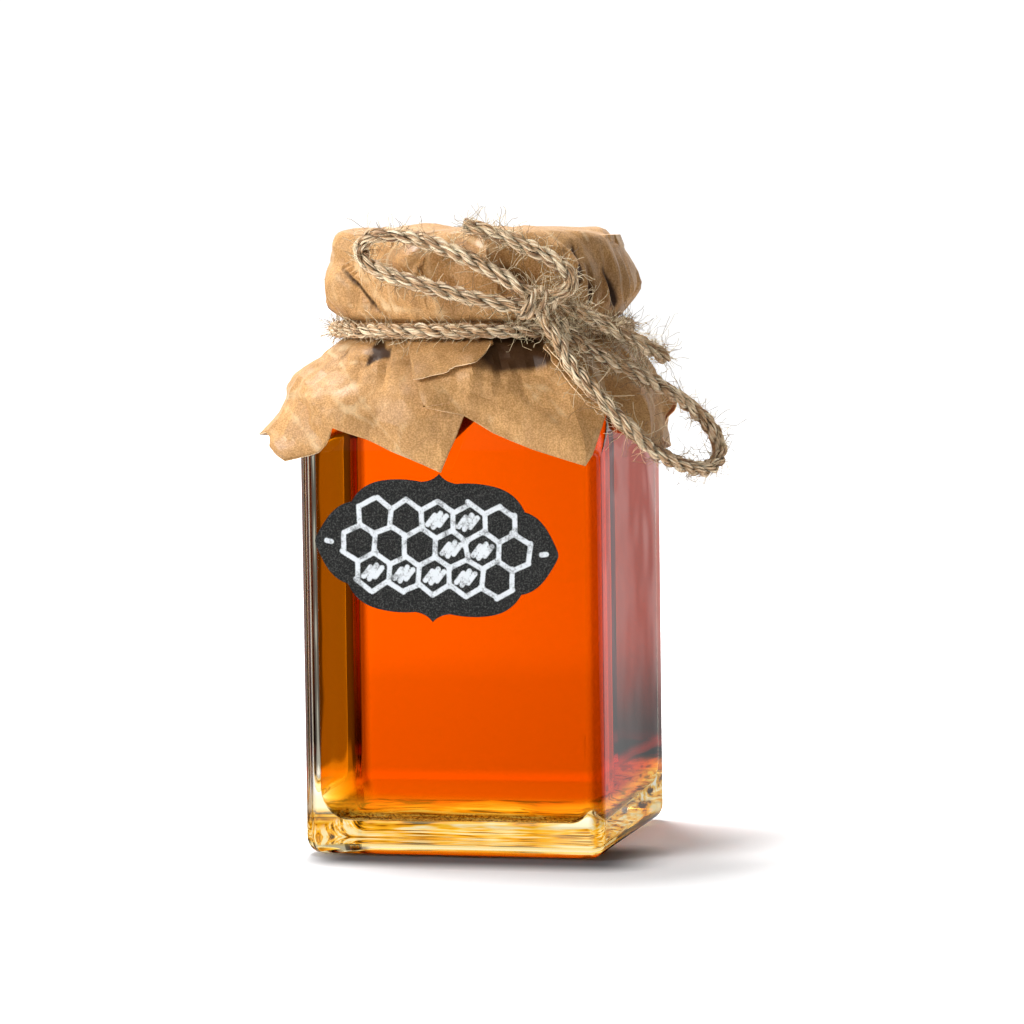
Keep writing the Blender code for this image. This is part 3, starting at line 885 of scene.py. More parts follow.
# %% Crease the sheet
CREASES = (  # from azimuth and height, to azimuth and height, width and lift in mm, kind
    (-49, 139.5, -38, 135.0, 9.0, 1.7, "step"),
    (-38, 135.0, -27, 125.8, 8.0, 2.2, "step"),
    (-48, 138.5, -27, 126.0, 1.3, -1.2, "tent"),
    (-76, 137.5, -58, 127.5, 6.0, 1.8, "step"),
    (-75, 136.0, -57, 126.5, 1.3, -1.1, "tent"),
    (-62, 134.0, -52, 126.5, 2.0, -0.9, "tent"),
    (-35, 131.8, -21, 130.6, 3.5, -0.7, "tent"),
    (-28, 133.0, -19, 130.0, 3.0, 0.5, "tent"),
    (-22, 143.0, -8, 137.0, 5.0, 0.8, "tent"),
    (-2, 142.5, 12, 134.5, 6.0, -0.8, "tent"),
    (16, 143.5, 17.5, 137.0, 3.0, 1.9, "step"),
    (20, 143.0, 24, 136.0, 4.0, -1.2, "tent"),
    (36, 144.0, 34, 134.0, 5.0, 0.6, "tent"),
    (52, 143.0, 51, 133.5, 2.4, -1.3, "tent"),
    (56, 142.0, 54, 134.0, 4.0, 0.9, "tent"),
    (68, 136.0, 75, 125.5, 2.0, -1.3, "tent"),
    (80, 140.0, 82, 126.0, 3.0, -1.0, "tent"),
    (-70, 132.0, -60, 125.5, 2.0, -0.9, "tent"),
    (-84, 139.0, -80, 127.0, 1.6, -1.2, "tent"),
    (-16, 139.5, -6, 143.5, 4.0, 1.2, "tent"),
    (-6, 143.5, 6, 140.5, 4.0, -1.0, "tent"),
    (-20, 129.5, -17, 125.6, 2.2, -0.9, "tent"),
    (-10, 130.5, -8, 125.8, 2.0, -0.9, "tent"),
    (-1, 131.5, -3, 125.8, 2.4, 1.1, "tent"),
    (6, 131.0, 4, 125.8, 2.0, -0.9, "tent"),
    (44, 144.0, 50, 139.5, 4.0, 1.5, "step"),
    (50, 139.5, 46, 134.0, 4.0, 1.4, "step"),
    (62, 137.0, 60, 129.0, 4.0, 1.3, "step"),
    (-41, 122.0, -26, 109.0, 5.0, 1.5, "tent"),
    (-26, 109.0, -28, 101.0, 5.0, 1.4, "tent"),
    (-30, 121.5, -24, 118.0, 2.6, -1.5, "tent"),
    (-24, 118.5, -29, 115.0, 2.6, -1.3, "tent"),
    (-55, 108.0, -31.5, 102.0, 7.0, -1.5, "tent"),
    (-44, 102.5, -32, 102.0, 3.0, 1.0, "tent"),
    (-50, 116.0, -38, 117.5, 4.0, 0.8, "tent"),
    (12, 120.0, 9, 104.0, 3.0, 1.5, "tent"),
    (13, 114.8, 36, 114.4, 5.0, 0.8, "tent"),
    (15, 119.5, 34, 118.5, 5.0, -1.6, "tent"),
    (24, 112.0, 30, 97.0, 6.0, 0.5, "tent"),
    (-98, 141.0, -60, 140.0, 7.0, 2.3, "tent"),
    (-98, 129.5, -60, 128.5, 6.0, -2.8, "tent"),
    (-96, 113.5, -62, 112.0, 9.0, -3.2, "tent"),
)
PAINTED_SHADES = (  # painted shade, placed as the creases above, for hollows that hardly any light reaches and for the crown's right side away from the light: width in mm and how dark
    (13, 118.6, 37, 117.2, 7.5, 1.6),
    (-29, 121.5, -25, 116.0, 4.5, 0.7),
    (18, 138.5, 34, 133.0, 4.5, 0.8),
    (54, 141.0, 56, 128.0, 7.0, 0.55),
    (66, 142.0, 70, 128.0, 9.0, 0.50),
    (82, 142.0, 84, 128.0, 9.0, 0.45),
)
SCATTERED = 260
FOLDS = 16  # long straight folds that break the sheet into flat facets
FOLD_HEIGHT = 0.095  # as a share of the distance between two folds
NECK_PLEATS = 34
PLEAT_TOP, PLEAT_FOOT = 126.5, 119.5  # mm, where they leave the twine upwards and downwards
PULLED_FLAT = 145.6 * MM  # the sheet is pulled nearly flat over the lid
LID_FOOT, LID_EDGE, LID_TOP = 127.2 * MM, 142 * MM, 144.4 * MM  # heights that the lid holds out
LID_CLEAR = 34.3 * MM  # least radius of the sheet round the lid
dice = np.random.default_rng(11)


def outward(points):
    """Directions that face away from the jar: sideways below the lid's edge, upwards over it."""
    out = points * (1, 1, 0)
    out /= np.maximum(np.linalg.norm(out, axis=-1, keepdims=True), 1e-6)
    radius = np.linalg.norm(points[..., :2], axis=-1)
    over = np.clip((34.5 * MM - radius) / (5 * MM), 0, 1) * (points[..., 2] > 140 * MM)
    tilted = out * (1 - over[..., None]) + np.array((0, 0, 1.0)) * over[..., None]
    return tilted / np.linalg.norm(tilted, axis=-1, keepdims=True)


def paper_point(azimuth, height):
    """The sheet's outermost point near an azimuth in degrees and a height in mm."""
    flat = sheet.reshape(-1, 3)
    angle = np.degrees(np.arctan2(flat[:, 0], -flat[:, 1]))
    apart = (angle - azimuth + 180) % 360 - 180
    miss = np.hypot(apart * 0.7, flat[:, 2] / MM - height)
    near = np.where(miss < miss.min() + 0.8)[0]
    return flat[near[np.argmax(np.hypot(flat[near, 0], flat[near, 1]))]]


def crease(points, out, start, end, width, lift, kind):
    """How far one crease pushes each point out."""
    line = end - start
    length = np.linalg.norm(line)
    along_line = line / length
    middle_out = outward((start + end) / 2)
    across_line = np.cross(along_line, middle_out)
    across_line /= np.linalg.norm(across_line)
    reach = points - start
    along = reach @ along_line
    across = reach @ across_line
    deep = np.abs(reach @ middle_out)
    fade = 0.25 * length
    left = length - along
    ends = np.clip((along + fade) / (2 * fade), 0, 1) * np.clip((left + fade) / (2 * fade), 0, 1)
    if kind == "tent":
        shape = np.clip(1 - np.abs(across) / width, 0, 1)
    else:
        shape = np.clip(1 - across / width, 0, 1) * (across > 0)
    near = np.clip(2 - deep / (4 * MM), 0, 1) * (np.sum(out * middle_out, axis=-1) > 0.2)
    return lift * shape * ends * near


out = outward(sheet)
push = np.zeros(sheet.shape[:2])
painted_fold_shade = np.zeros(sheet.shape[:2])  # painted shade: how dark the depth of a narrow fold is
crease_wear_and_highlight = np.zeros(sheet.shape[:2])  # painted highlight on a crease, with the pale broken fibres there
for start_at, start_z, end_at, end_z, width, lift, kind in CREASES:
    ends = paper_point(start_at, start_z), paper_point(end_at, end_z)
    push += crease(sheet, out, *ends, width * MM, lift * MM, kind)
    if lift <= -1 and width <= 2.6:
        painted_fold_shade += crease(sheet, out, *ends, 1.15 * MM, 1.0, kind)
for start_at, start_z, end_at, end_z, width, dark in PAINTED_SHADES:
    ends = paper_point(start_at, start_z), paper_point(end_at, end_z)
    painted_fold_shade += crease(sheet, out, *ends, width * MM, dark, "tent")

loose = sheet.reshape(-1, 3)
for _ in range(SCATTERED):
    start = loose[dice.integers(len(loose))]
    facing = outward(start)
    heading = np.cross(facing, dice.normal(size=3))
    heading /= np.linalg.norm(heading)
    end = start + heading * dice.uniform(6, 20) * MM
    lift = dice.choice((-1, 1)) * dice.uniform(0.2, 0.8) * MM
    push += crease(sheet, out, start, end, dice.uniform(2.0, 6.5) * MM, lift, "tent")
    crease_wear_and_highlight += crease(sheet, out, start, end, 0.9 * MM, dice.uniform(0, 0.7), "tent")
for _ in range(FOLDS):
    heading, mask_way = dice.normal(size=(2, 3))
    period = dice.uniform(9, 30) * MM
    across = sheet @ (heading / np.linalg.norm(heading)) / period + dice.random()
    ridge = np.abs(across % 1 - 0.5) * 2 - 0.5
    mask = np.clip(0.4 + np.sin(sheet @ mask_way * 45 + dice.uniform(0, 6)), 0, 1)
    push += ridge * mask * period * FOLD_HEIGHT
    crease_wear_and_highlight += 0.35 * mask * np.clip(1 - np.abs(across % 1 - 0.5) * period / (0.8 * MM), 0, 1)
for place in range(NECK_PLEATS):
    azimuth = (place + dice.uniform(-0.3, 0.3)) * 360 / NECK_PLEATS
    if -20 < azimuth < 20 or azimuth > 340:
        continue
    lean = dice.uniform(-7, 7)
    up, down = dice.uniform(6, 15), dice.uniform(7, 16)
    width, depth = dice.uniform(1.2, 2.4) * MM, -dice.uniform(0.5, 1.1) * MM
    neck, foot = paper_point(azimuth, PLEAT_TOP), paper_point(azimuth, PLEAT_FOOT)
    for start, end in (
        (neck, paper_point(azimuth + lean, PLEAT_TOP + up)),
        (foot, paper_point(azimuth - lean, PLEAT_FOOT - down)),
    ):
        push += crease(sheet, out, start, end, width, depth * 1.3, "tent")
        short = start + (end - start) * dice.uniform(0.2, 0.5)
        painted_fold_shade += crease(sheet, out, start, short, 0.9 * MM, dice.uniform(0.1, 0.7), "tent")
swell = np.sin(sheet @ (210.0, 90.0, 160.0) + 1.0) * np.sin(sheet @ (-80.0, 190.0, 120.0))
push += 0.35 * MM * swell
held = np.clip(np.abs(sheet[..., 2] - 122.8 * MM) / (4.5 * MM) - 0.4, 0, 1)  # the twine's grip
push = np.maximum(push, -1.6 * MM) * np.minimum(held, 1)
sheet = sheet + out * push[..., None]
sheet[..., 2] -= np.maximum(sheet[..., 2] - PULLED_FLAT, 0) * 0.55
radius = np.linalg.norm(sheet[..., :2], axis=-1)
height = sheet[..., 2].copy()
round_lid = (radius > 30 * MM) & (height > LID_FOOT) & (height < LID_EDGE)
wanting = np.where(round_lid, np.maximum(LID_CLEAR - radius, 0), 0)
sheet[..., :2] *= (1 + wanting / np.maximum(radius, 1e-6))[..., None]
on_lid = (radius < 33.5 * MM) & (height > 140 * MM)
sheet[..., 2] = np.where(on_lid, np.maximum(height, LID_TOP), height)
print("deepest crease", round(push.min() / MM, 2), "mm, highest", round(push.max() / MM, 2), "mm")

# %% [markdown]
# ## Flaps
# Where the gathers bunch, corners of paper stick out over the skirt. They are short strips
# between an upper and a lower line, laid just over the sheet.

# %% Add the flaps
FLAPS = (  # upper line, lower line as azimuths and heights, then the lift of each in mm
    (
        ((-17, 121.6), (-4, 121.6), (6, 121.6), (12, 121.6), (18, 121.6)),
        ((-8.6, 112.6), (2.4, 114.2), (4.6, 115.6), (12.9, 116.7), (17.5, 120.6)),
        (0.5, 1.9),
    ),
    (
        ((44, 121.4), (47, 119.0), (50, 116.2), (53, 113.0), (56, 110.2), (58, 108.4)),
        ((37.2, 120.4), (37.1, 117.3), (39.1, 114.5), (41.6, 110.8), (43.8, 107.8), (49, 105.2)),
        (0.5, 2.3),
    ),
    (
        ((40, 121.2), (43, 118.5), (46, 115.6), (49, 112.0), (52, 109.0), (55, 107.4)),
        ((36.2, 119.4), (35.8, 116.2), (37.6, 113.2), (40.0, 109.6), (42.4, 106.6), (48, 104.2)),
        (0.3, 1.1),
    ),
)
FLAP_COLUMNS = 40
FLAP_ROWS = 14


def along(points, share):
    """The point at a share of a row of points."""
    place = share * (len(points) - 1)
    at = min(int(place), len(points) - 2)
    return np.array(points[at]) + (np.array(points[at + 1]) - np.array(points[at])) * (place - at)


def flap_grid(upper, lower, lifts):
    """Points of one flap, laid over the sheet and smoothed."""
    grid = []
    for i in range(FLAP_COLUMNS + 1):
        high, low = along(upper, i / FLAP_COLUMNS), along(lower, i / FLAP_COLUMNS)
        column = []
        for j in range(FLAP_ROWS + 1):
            share = j / FLAP_ROWS
            point = paper_point(*(high + (low - high) * share))
            lift = lifts[0] + (lifts[1] - lifts[0]) * share
            column.append(point + outward(point) * lift * MM)
        grid.append(column)
    grid = np.array(grid)
    for _ in range(3):
        grid[1:-1, 1:-1] = (
            grid[:-2, 1:-1] + grid[2:, 1:-1] + grid[1:-1, :-2] + grid[1:-1, 2:] + 2 * grid[1:-1, 1:-1]
        ) / 6
        grid[0, 1:-1] = (grid[0, :-2] + grid[0, 2:] + 2 * grid[0, 1:-1]) / 4
        grid[1:-1, -1] = (grid[:-2, -1] + grid[2:, -1] + 2 * grid[1:-1, -1]) / 4
    return grid


def add_grid(bm, grid, closed, shades=None):
    """Faces over a grid of points, joined round its columns where it is closed."""
    verts = [[bm.verts.new(point) for point in column] for column in grid]
    if shades is not None:
        for column, values in zip(verts, shades):
            for vert, value in zip(column, values):
                vert[shade_and_highlight_layer] = value
    last = len(verts) if closed else len(verts) - 1
    for i in range(last):
        near, far = verts[i], verts[(i + 1) % len(verts)]
        for j in range(len(near) - 1):
            bm.faces.new((near[j], near[j + 1], far[j + 1], far[j]))


bm = bmesh.new()
shade_and_highlight_layer = bm.verts.layers.float.new("fold")  # painted shade above 0 in the depth of a fold, painted highlight and worn fibres below 0 on a crease
add_grid(bm, sheet, True, (np.clip(painted_fold_shade, 0, 1) - np.clip(crease_wear_and_highlight, 0, 1) * (painted_fold_shade < 0.1)).tolist())
bmesh.ops.remove_doubles(bm, verts=bm.verts, dist=0.01 * MM)
for flap in FLAPS:
    add_grid(bm, flap_grid(*flap), closed=False)
mesh = mesh_of(bm, "paper_cover_sheet")
print("sheet:", len(mesh.polygons), "faces")

# %% [markdown]
# ## Kraft paper
# Unbleached paper is a warm brown felt of fibres: lighter and darker flecks well under a
# millimetre across, faint clouds, and fine wrinkles between the creases. It is nearly matt but
# shines at a glancing angle. Shade is painted into the depth of narrow folds, and a pale line,
# part painted highlight and part broken fibres, onto the crests of creases. Its cut edges show
# the pale torn fibres and catch the light, so the rim that Solidify makes gets a lighter
# material of its own, partly a painted highlight.

# %% Make the paper
def kraft_finish(name, dark, light, wrinkles):
    """Paper between a dark and a light brown, with fine wrinkles of a given strength."""
    made, tree = empty_material(name)
    where = add_node(tree, "ShaderNodeTexCoord").outputs["Object"]

    def noise(scale, detail, stretch=(1, 1, 1)):
        """Grains of a size, drawn out where stretch is small."""
        placed = add_node(tree, "ShaderNodeMapping", {"Vector": where, "Scale": stretch})
        return add_node(
            tree,
            "ShaderNodeTexNoise",
            {"Vector": placed, "Scale": scale, "Detail": detail, "Roughness": 0.6},
        )

    def blended(low, high, value, start, end):
        """Goes from one colour to another while value goes from start to end."""
        share = add_node(tree, "ShaderNodeMapRange", (value, start, end, 0, 1), **SMOOTH)
        return add_node(
            tree, "ShaderNodeMix", {"Factor": share, 6: low, 7: high}, data_type="RGBA"
        ).outputs[2]

    flecks = noise(2600, 2)
    fibres = noise(900, 2, (1, 1, 0.25))
    clouds = noise(90, 3)
    paint = blended(colour(dark), colour(light), flecks, 0.32, 0.68)
    cloudy = blended((0.90, 0.88, 0.86, 1), (1.08, 1.07, 1.06, 1), clouds, 0.3, 0.7)
    streaky = blended((0.93, 0.92, 0.91, 1), (1.05, 1.05, 1.05, 1), fibres, 0.35, 0.65)
    for shade in (cloudy, streaky):
        paint = add_node(
            tree,
            "ShaderNodeMix",
            {"Factor": 1.0, 6: paint, 7: shade},
            data_type="RGBA",
            blend_type="MULTIPLY",
        ).outputs[2]
    fold = add_node(tree, "ShaderNodeAttribute", attribute_name="fold").outputs["Fac"]
    for start, end, first, last, hex_code in (
        (-0.9, -0.1, 0.4, 0, "F2D8AC"),  # painted highlight on a crease, also its worn pale fibres
        (0.25, 0.9, 0, 0.95, "2E1605"),  # painted shade in the depth of a fold
    ):
        share = add_node(tree, "ShaderNodeMapRange", (fold, start, end, first, last), **SMOOTH)
        paint = add_node(
            tree, "ShaderNodeMix", {"Factor": share, 6: paint, 7: colour(hex_code)}, data_type="RGBA"
        ).outputs[2]
    wrinkle = add_node(
        tree,
        "ShaderNodeTexVoronoi",
        {"Vector": where, "Scale": 260, "Randomness": 1.0},
        feature="DISTANCE_TO_EDGE",
    )
    rough = add_node(tree, "ShaderNodeBump", {"Distance": 0.03 * MM, "Height": flecks})
    creased = add_node(
        tree,
        "ShaderNodeBump",
        {
            "Strength": wrinkles,
            "Distance": 0.35 * MM,
            "Height": wrinkle.outputs["Distance"],
            "Normal": rough,
        },
    )
    shader = add_node(
        tree,
        "ShaderNodeBsdfPrincipled",
        {"Base Color": paint, "Roughness": 0.42, "Specular IOR Level": 0.25, "Normal": creased},
    )
    finish_material(tree, shader)
    return made


KRAFT = kraft_finish("crumpled_kraft_paper", "AB7E4C", "CFA26C", 0.35)
# The cut edge's paler colour is partly the torn fibres and partly a painted highlight on the thin edge.
KRAFT_EDGE = kraft_finish("cut_edge_of_kraft_paper", "EBC898", "FFE6BE", 0.0)

paper = new_object("paper_cover_sheet", mesh, KRAFT, KRAFT_EDGE)
mesh.shade_smooth()
mesh.set_sharp_from_angle(angle=math.radians(13))
thick = paper.modifiers.new("thickness", "SOLIDIFY")
thick.thickness = PAPER
thick.offset = -1
thick.material_offset_rim = 1
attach(paper, "root")
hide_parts("paper_cover")

# %% [markdown]
# ## Jute twine
# Jute twine is three plies laid round one another, and each ply is a bundle of coarse fibres
# twisted the other way, so that the two twists hold each other. Seen close, it isn't a smooth
# rope but strands with dark gaps between them. A bump map on a tube would stay smooth at the
# outline, so the strands are real: Geometry Nodes copies a route once for each strand, winds
# the copies round it twice over, and gives each a thin round section.

# %% Routes of the twine
TWINE = 3.6 * MM
BAND_RADIUS = 34.8  # mm
BAND_HEIGHT = 122.8
KNOT_MIDDLE = np.array((21.9, -34.4, 129.2))
KNOT_ALONG = np.array((0.843, 0.538, 0.0))  # the way the band runs there
KNOT_OUT = np.array((0.538, -0.843, 0.0))
ROUTES = {  # in mm; the first and last points of the loops lie inside the knot
    "twine_loop_left": (
        (21.9, -34.9, 130.6),
        (18.6, -37.9, 132.6),
        (16.4, -38.6, 134.2),
        (11.7, -39.3, 137.0),
        (2.4, -40.5, 141.6),
        (-6.6, -40.4, 144.6),
        (-13.7, -39.0, 145.4),
        (-18.3, -37.7, 143.9),
        (-19.4, -37.4, 141.2),
        (-17.2, -38.0, 138.4),
        (-12.5, -39.0, 136.1),
        (-2.9, -40.7, 133.3),
        (8.0, -40.2, 130.5),
        (16.6, -38.0, 128.9),
        (21.0, -35.6, 128.4),
    ),
    "twine_loop_right": (
        (22.8, -35.6, 128.0),
        (24.5, -36.2, 124.6),
        (27.2, -35.4, 120.0),
        (30.4, -35.2, 114.3),
        (36.2, -35.1, 107.6),
        (42.2, -31.7, 100.5),
        (47.8, -24.8, 94.0),
        (53.5, -17.2, 90.2),
        (56.9, -11.0, 89.6),
        (58.3, -5.2, 91.9),
        (57.4, -2.6, 95.9),
        (54.3, -5.1, 101.5),
        (48.7, -12.3, 107.3),
        (43.0, -19.2, 111.7),
        (37.4, -24.7, 115.2),
        (32.4, -29.0, 118.6),
        (28.4, -31.8, 121.9),
        (26.6, -33.4, 124.9),
        (24.0, -34.2, 128.0),
    ),
    "twine_tail_upper": (
        (23.2, -34.6, 129.6),
        (26.6, -34.6, 130.6),
        (29.4, -33.8, 132.6),
        (29.2, -34.4, 136.0),
        (25.6, -35.4, 139.2),
        (20.6, -36.6, 141.8),
        (14.6, -37.9, 144.6),
        (8.3, -38.6, 146.6),
        (5.8, -38.6, 147.4),
    ),
    "twine_tail_right": (
        (23.6, -34.0, 129.0),
        (27.6, -33.0, 128.4),
        (31.6, -30.4, 126.5),
        (36.2, -26.6, 123.9),
        (40.4, -22.2, 121.0),
        (44.6, -17.8, 118.0),
        (47.8, -14.4, 115.6),
    ),
}
ROUTE_STEP = 0.8  # mm between the points of a smooth route


def smooth_route(points):
    """Closely spaced points in mm on a smooth curve through the given ones."""
    ends = [np.array(point, float) for point in points]
    ends = [2 * ends[0] - ends[1], *ends, 2 * ends[-1] - ends[-2]]
    made = []
    for near in zip(ends, ends[1:], ends[2:], ends[3:]):
        steps = max(2, round(np.linalg.norm(near[2] - near[1]) / ROUTE_STEP))
        made += [between(*near, step / steps) for step in range(steps)]
    return np.array([*made, ends[-2]])


def route_length(points):
    """The length of a route, in the unit of its points."""
    return float(np.linalg.norm(np.diff(points, axis=0), axis=1).sum())


def knot_wrap():
    """Two and a half turns across the band, round all the strands that meet in the knot."""
    made = []
    for turn in np.linspace(-0.45, 2.1, 60):
        angle = turn * 2 * math.pi
        wound = KNOT_OUT * 2.2 * math.cos(angle) + np.array((0, 0, 2.4)) * math.sin(angle)
        made.append(KNOT_MIDDLE + wound + KNOT_ALONG * (3.1 * (turn - 0.82)))
    return np.array(made)


turns = np.radians(np.arange(0, 360, 1.25))
band = np.stack(
    [BAND_RADIUS * np.sin(turns), -BAND_RADIUS * np.cos(turns), 0 * turns + BAND_HEIGHT], axis=1
)
routes = {"twine_band": band, "twine_knot": knot_wrap()}
routes.update((name, smooth_route(points)) for name, points in ROUTES.items())
for name, points in routes.items():
    print(name, round(route_length(points), 1), "mm")

# %% Twisted twine in Geometry Nodes
PLIES = 3
STRANDS = 11
PLY_OFF_AXIS = 0.92 * MM  # from the twine's middle to a ply's
STRAND_OFF_AXIS = 0.68 * MM  # from a ply's middle to a strand's
STRAND_RADIUS = 0.26 * MM
PLY_PITCH = 13.0 * MM
STRAND_PITCH = 13.0 * MM
BAND_PLY_TURNS, BAND_STRAND_TURNS = 20, 17  # whole turns, so that the band closes
UNEVEN = 1.3 * MM  # how far the strands stray


def geometry_tree(name, numbers):
    """A Geometry Nodes tree with a geometry, a material and named numbers as its inputs."""
    tree = bpy.data.node_groups.new(name, "GeometryNodeTree")
    tree.interface.new_socket("Geometry", in_out="INPUT", socket_type="NodeSocketGeometry")
    tree.interface.new_socket("Finish", in_out="INPUT", socket_type="NodeSocketMaterial")
    for label, value in numbers.items():
        socket = tree.interface.new_socket(label, in_out="INPUT", socket_type="NodeSocketFloat")
        socket.default_value = value
    tree.interface.new_socket("Geometry", in_out="OUTPUT", socket_type="NodeSocketGeometry")
    return tree, add_node(tree, "NodeGroupInput").outputs


def end_tree(tree, geometry, finish):
    """Makes the instances real, gives them their material, and ends the tree."""
    real = add_node(tree, "GeometryNodeRealizeInstances", {"Geometry": geometry})
    painted = add_node(tree, "GeometryNodeSetMaterial", {"Geometry": real, "Material": finish})
    add_node(tree, "NodeGroupOutput", (painted,))


def wound(tree, angle, radius, along, aside):
    """A step off the route, turned by angle from one side direction towards the other."""
    parts = []
    for operation, way in (("COSINE", along), ("SINE", aside)):
        share = add_node(tree, "ShaderNodeMath", (angle,), operation=operation)
        size = add_node(tree, "ShaderNodeMath", (share, radius), operation="MULTIPLY")
        parts.append(add_node(tree, "ShaderNodeVectorMath", {0: way, "Scale": size}, operation="SCALE"))
    return add_node(tree, "ShaderNodeVectorMath", parts, operation="ADD")


def twisted_twine():
    """The tree that winds the strands of a twine round a route."""
    numbers = {"Ply pitch": PLY_PITCH, "Strand pitch": STRAND_PITCH, "Slimming": 1.0}
    tree, given = geometry_tree("twisted_twine", numbers)
    line = add_node(tree, "GeometryNodeMeshToCurve", {"Mesh": given["Geometry"]})
    fine = add_node(
        tree, "GeometryNodeResampleCurve", {"Curve": line, "Length": 0.62 * MM}, mode="LENGTH"
    )
    copies = add_node(
        tree,
        "GeometryNodeDuplicateElements",
        {"Geometry": fine, "Amount": PLIES * STRANDS},
        domain="SPLINE",
    )
    index = copies.outputs["Duplicate Index"]
    share = add_node(tree, "ShaderNodeMath", (index, float(STRANDS)), operation="DIVIDE")
    ply = add_node(tree, "ShaderNodeMath", (share,), operation="FLOOR")
    strand = add_node(tree, "ShaderNodeMath", (index, float(STRANDS)), operation="MODULO")
    run = add_node(tree, "GeometryNodeSplineParameter").outputs["Length"]
    whole = 2 * math.pi
    angles = []
    for pitch, number, apart, operation in (
        ("Ply pitch", ply, whole / PLIES, "ADD"),
        ("Strand pitch", strand, whole / (STRANDS - 1), "SUBTRACT"),
    ):
        start = add_node(tree, "ShaderNodeMath", (number, apart), operation="MULTIPLY")
        gained = add_node(tree, "ShaderNodeMath", (run, given[pitch]), operation="DIVIDE")
        gained = add_node(tree, "ShaderNodeMath", (gained, whole), operation="MULTIPLY")
        angles.append(add_node(tree, "ShaderNodeMath", (start, gained), operation=operation))
    ply_turn, strand_turn = angles
    normal = add_node(tree, "GeometryNodeInputNormal").outputs["Normal"]
    tangent = add_node(tree, "GeometryNodeInputTangent")
    aside = add_node(tree, "ShaderNodeVectorMath", (tangent, normal), operation="CROSS_PRODUCT")
    # The last strand is the ply's core.
    ring = add_node(tree, "ShaderNodeMath", (strand, STRANDS - 1.5), operation="LESS_THAN")
    strand_off = add_node(tree, "ShaderNodeMath", (ring, STRAND_OFF_AXIS), operation="MULTIPLY")
    ply_step = wound(tree, ply_turn, PLY_OFF_AXIS, normal, aside)
    strand_step = wound(tree, strand_turn, strand_off, normal, aside)
    place = add_node(tree, "GeometryNodeInputPosition")
    shift = add_node(tree, "ShaderNodeCombineXYZ", {"X": index, "Y": ply})
    spread = add_node(tree, "ShaderNodeVectorMath", {0: place, "Scale": 170.0}, operation="SCALE")
    seen_at = add_node(tree, "ShaderNodeVectorMath", (spread, shift), operation="ADD")
    noise = add_node(tree, "ShaderNodeTexNoise", {"Vector": seen_at, "Scale": 1.0, "Detail": 1.0})
    centred = add_node(
        tree, "ShaderNodeVectorMath", (noise.outputs["Color"], (0.5, 0.5, 0.5)), operation="SUBTRACT"
    )
    stray = add_node(tree, "ShaderNodeVectorMath", {0: centred, "Scale": UNEVEN}, operation="SCALE")
    step = add_node(tree, "ShaderNodeVectorMath", (ply_step, strand_step), operation="ADD")
    step = add_node(tree, "ShaderNodeVectorMath", (step, stray), operation="ADD")
    step = add_node(
        tree, "ShaderNodeVectorMath", {0: step, "Scale": given["Slimming"]}, operation="SCALE"
    )
    off_middle = add_node(tree, "ShaderNodeVectorMath", (step,), operation="LENGTH").outputs["Value"]
    depth = add_node(tree, "ShaderNodeMath", (off_middle, TWINE / 2), operation="DIVIDE")
    lot = add_node(
        tree, "FunctionNodeRandomValue", {"ID": index, "Seed": 5}, data_type="FLOAT"
    ).outputs[1]
    outward_way = add_node(tree, "ShaderNodeVectorMath", (step,), operation="NORMALIZE")
    shape = copies.outputs["Geometry"]
    for label, kind, value in (
        ("strand", "FLOAT", lot),
        ("along", "FLOAT", run),
        ("depth", "FLOAT", depth),
        ("outward", "FLOAT_VECTOR", outward_way),
        ("heading", "FLOAT_VECTOR", tangent),
    ):
        inputs = {"Geometry": shape, "Name": label, "Value": value}
        shape = add_node(tree, "GeometryNodeStoreNamedAttribute", inputs, data_type=kind)
    moved = add_node(tree, "GeometryNodeSetPosition", {"Geometry": shape, "Offset": step})
    width = add_node(tree, "ShaderNodeMath", (noise, 1.3), operation="MULTIPLY")
    width = add_node(tree, "ShaderNodeMath", (width, 0.35), operation="ADD")
    sized = add_node(tree, "GeometryNodeSetCurveRadius", {"Curve": moved, "Radius": width})
    section = add_node(
        tree, "GeometryNodeCurvePrimitiveCircle", {"Resolution": 5, "Radius": STRAND_RADIUS}
    )
    tube = add_node(
        tree, "GeometryNodeCurveToMesh", {"Curve": sized, "Profile Curve": section, "Fill Caps": True}
    )
    end_tree(tree, tube, given["Finish"])
    return tree


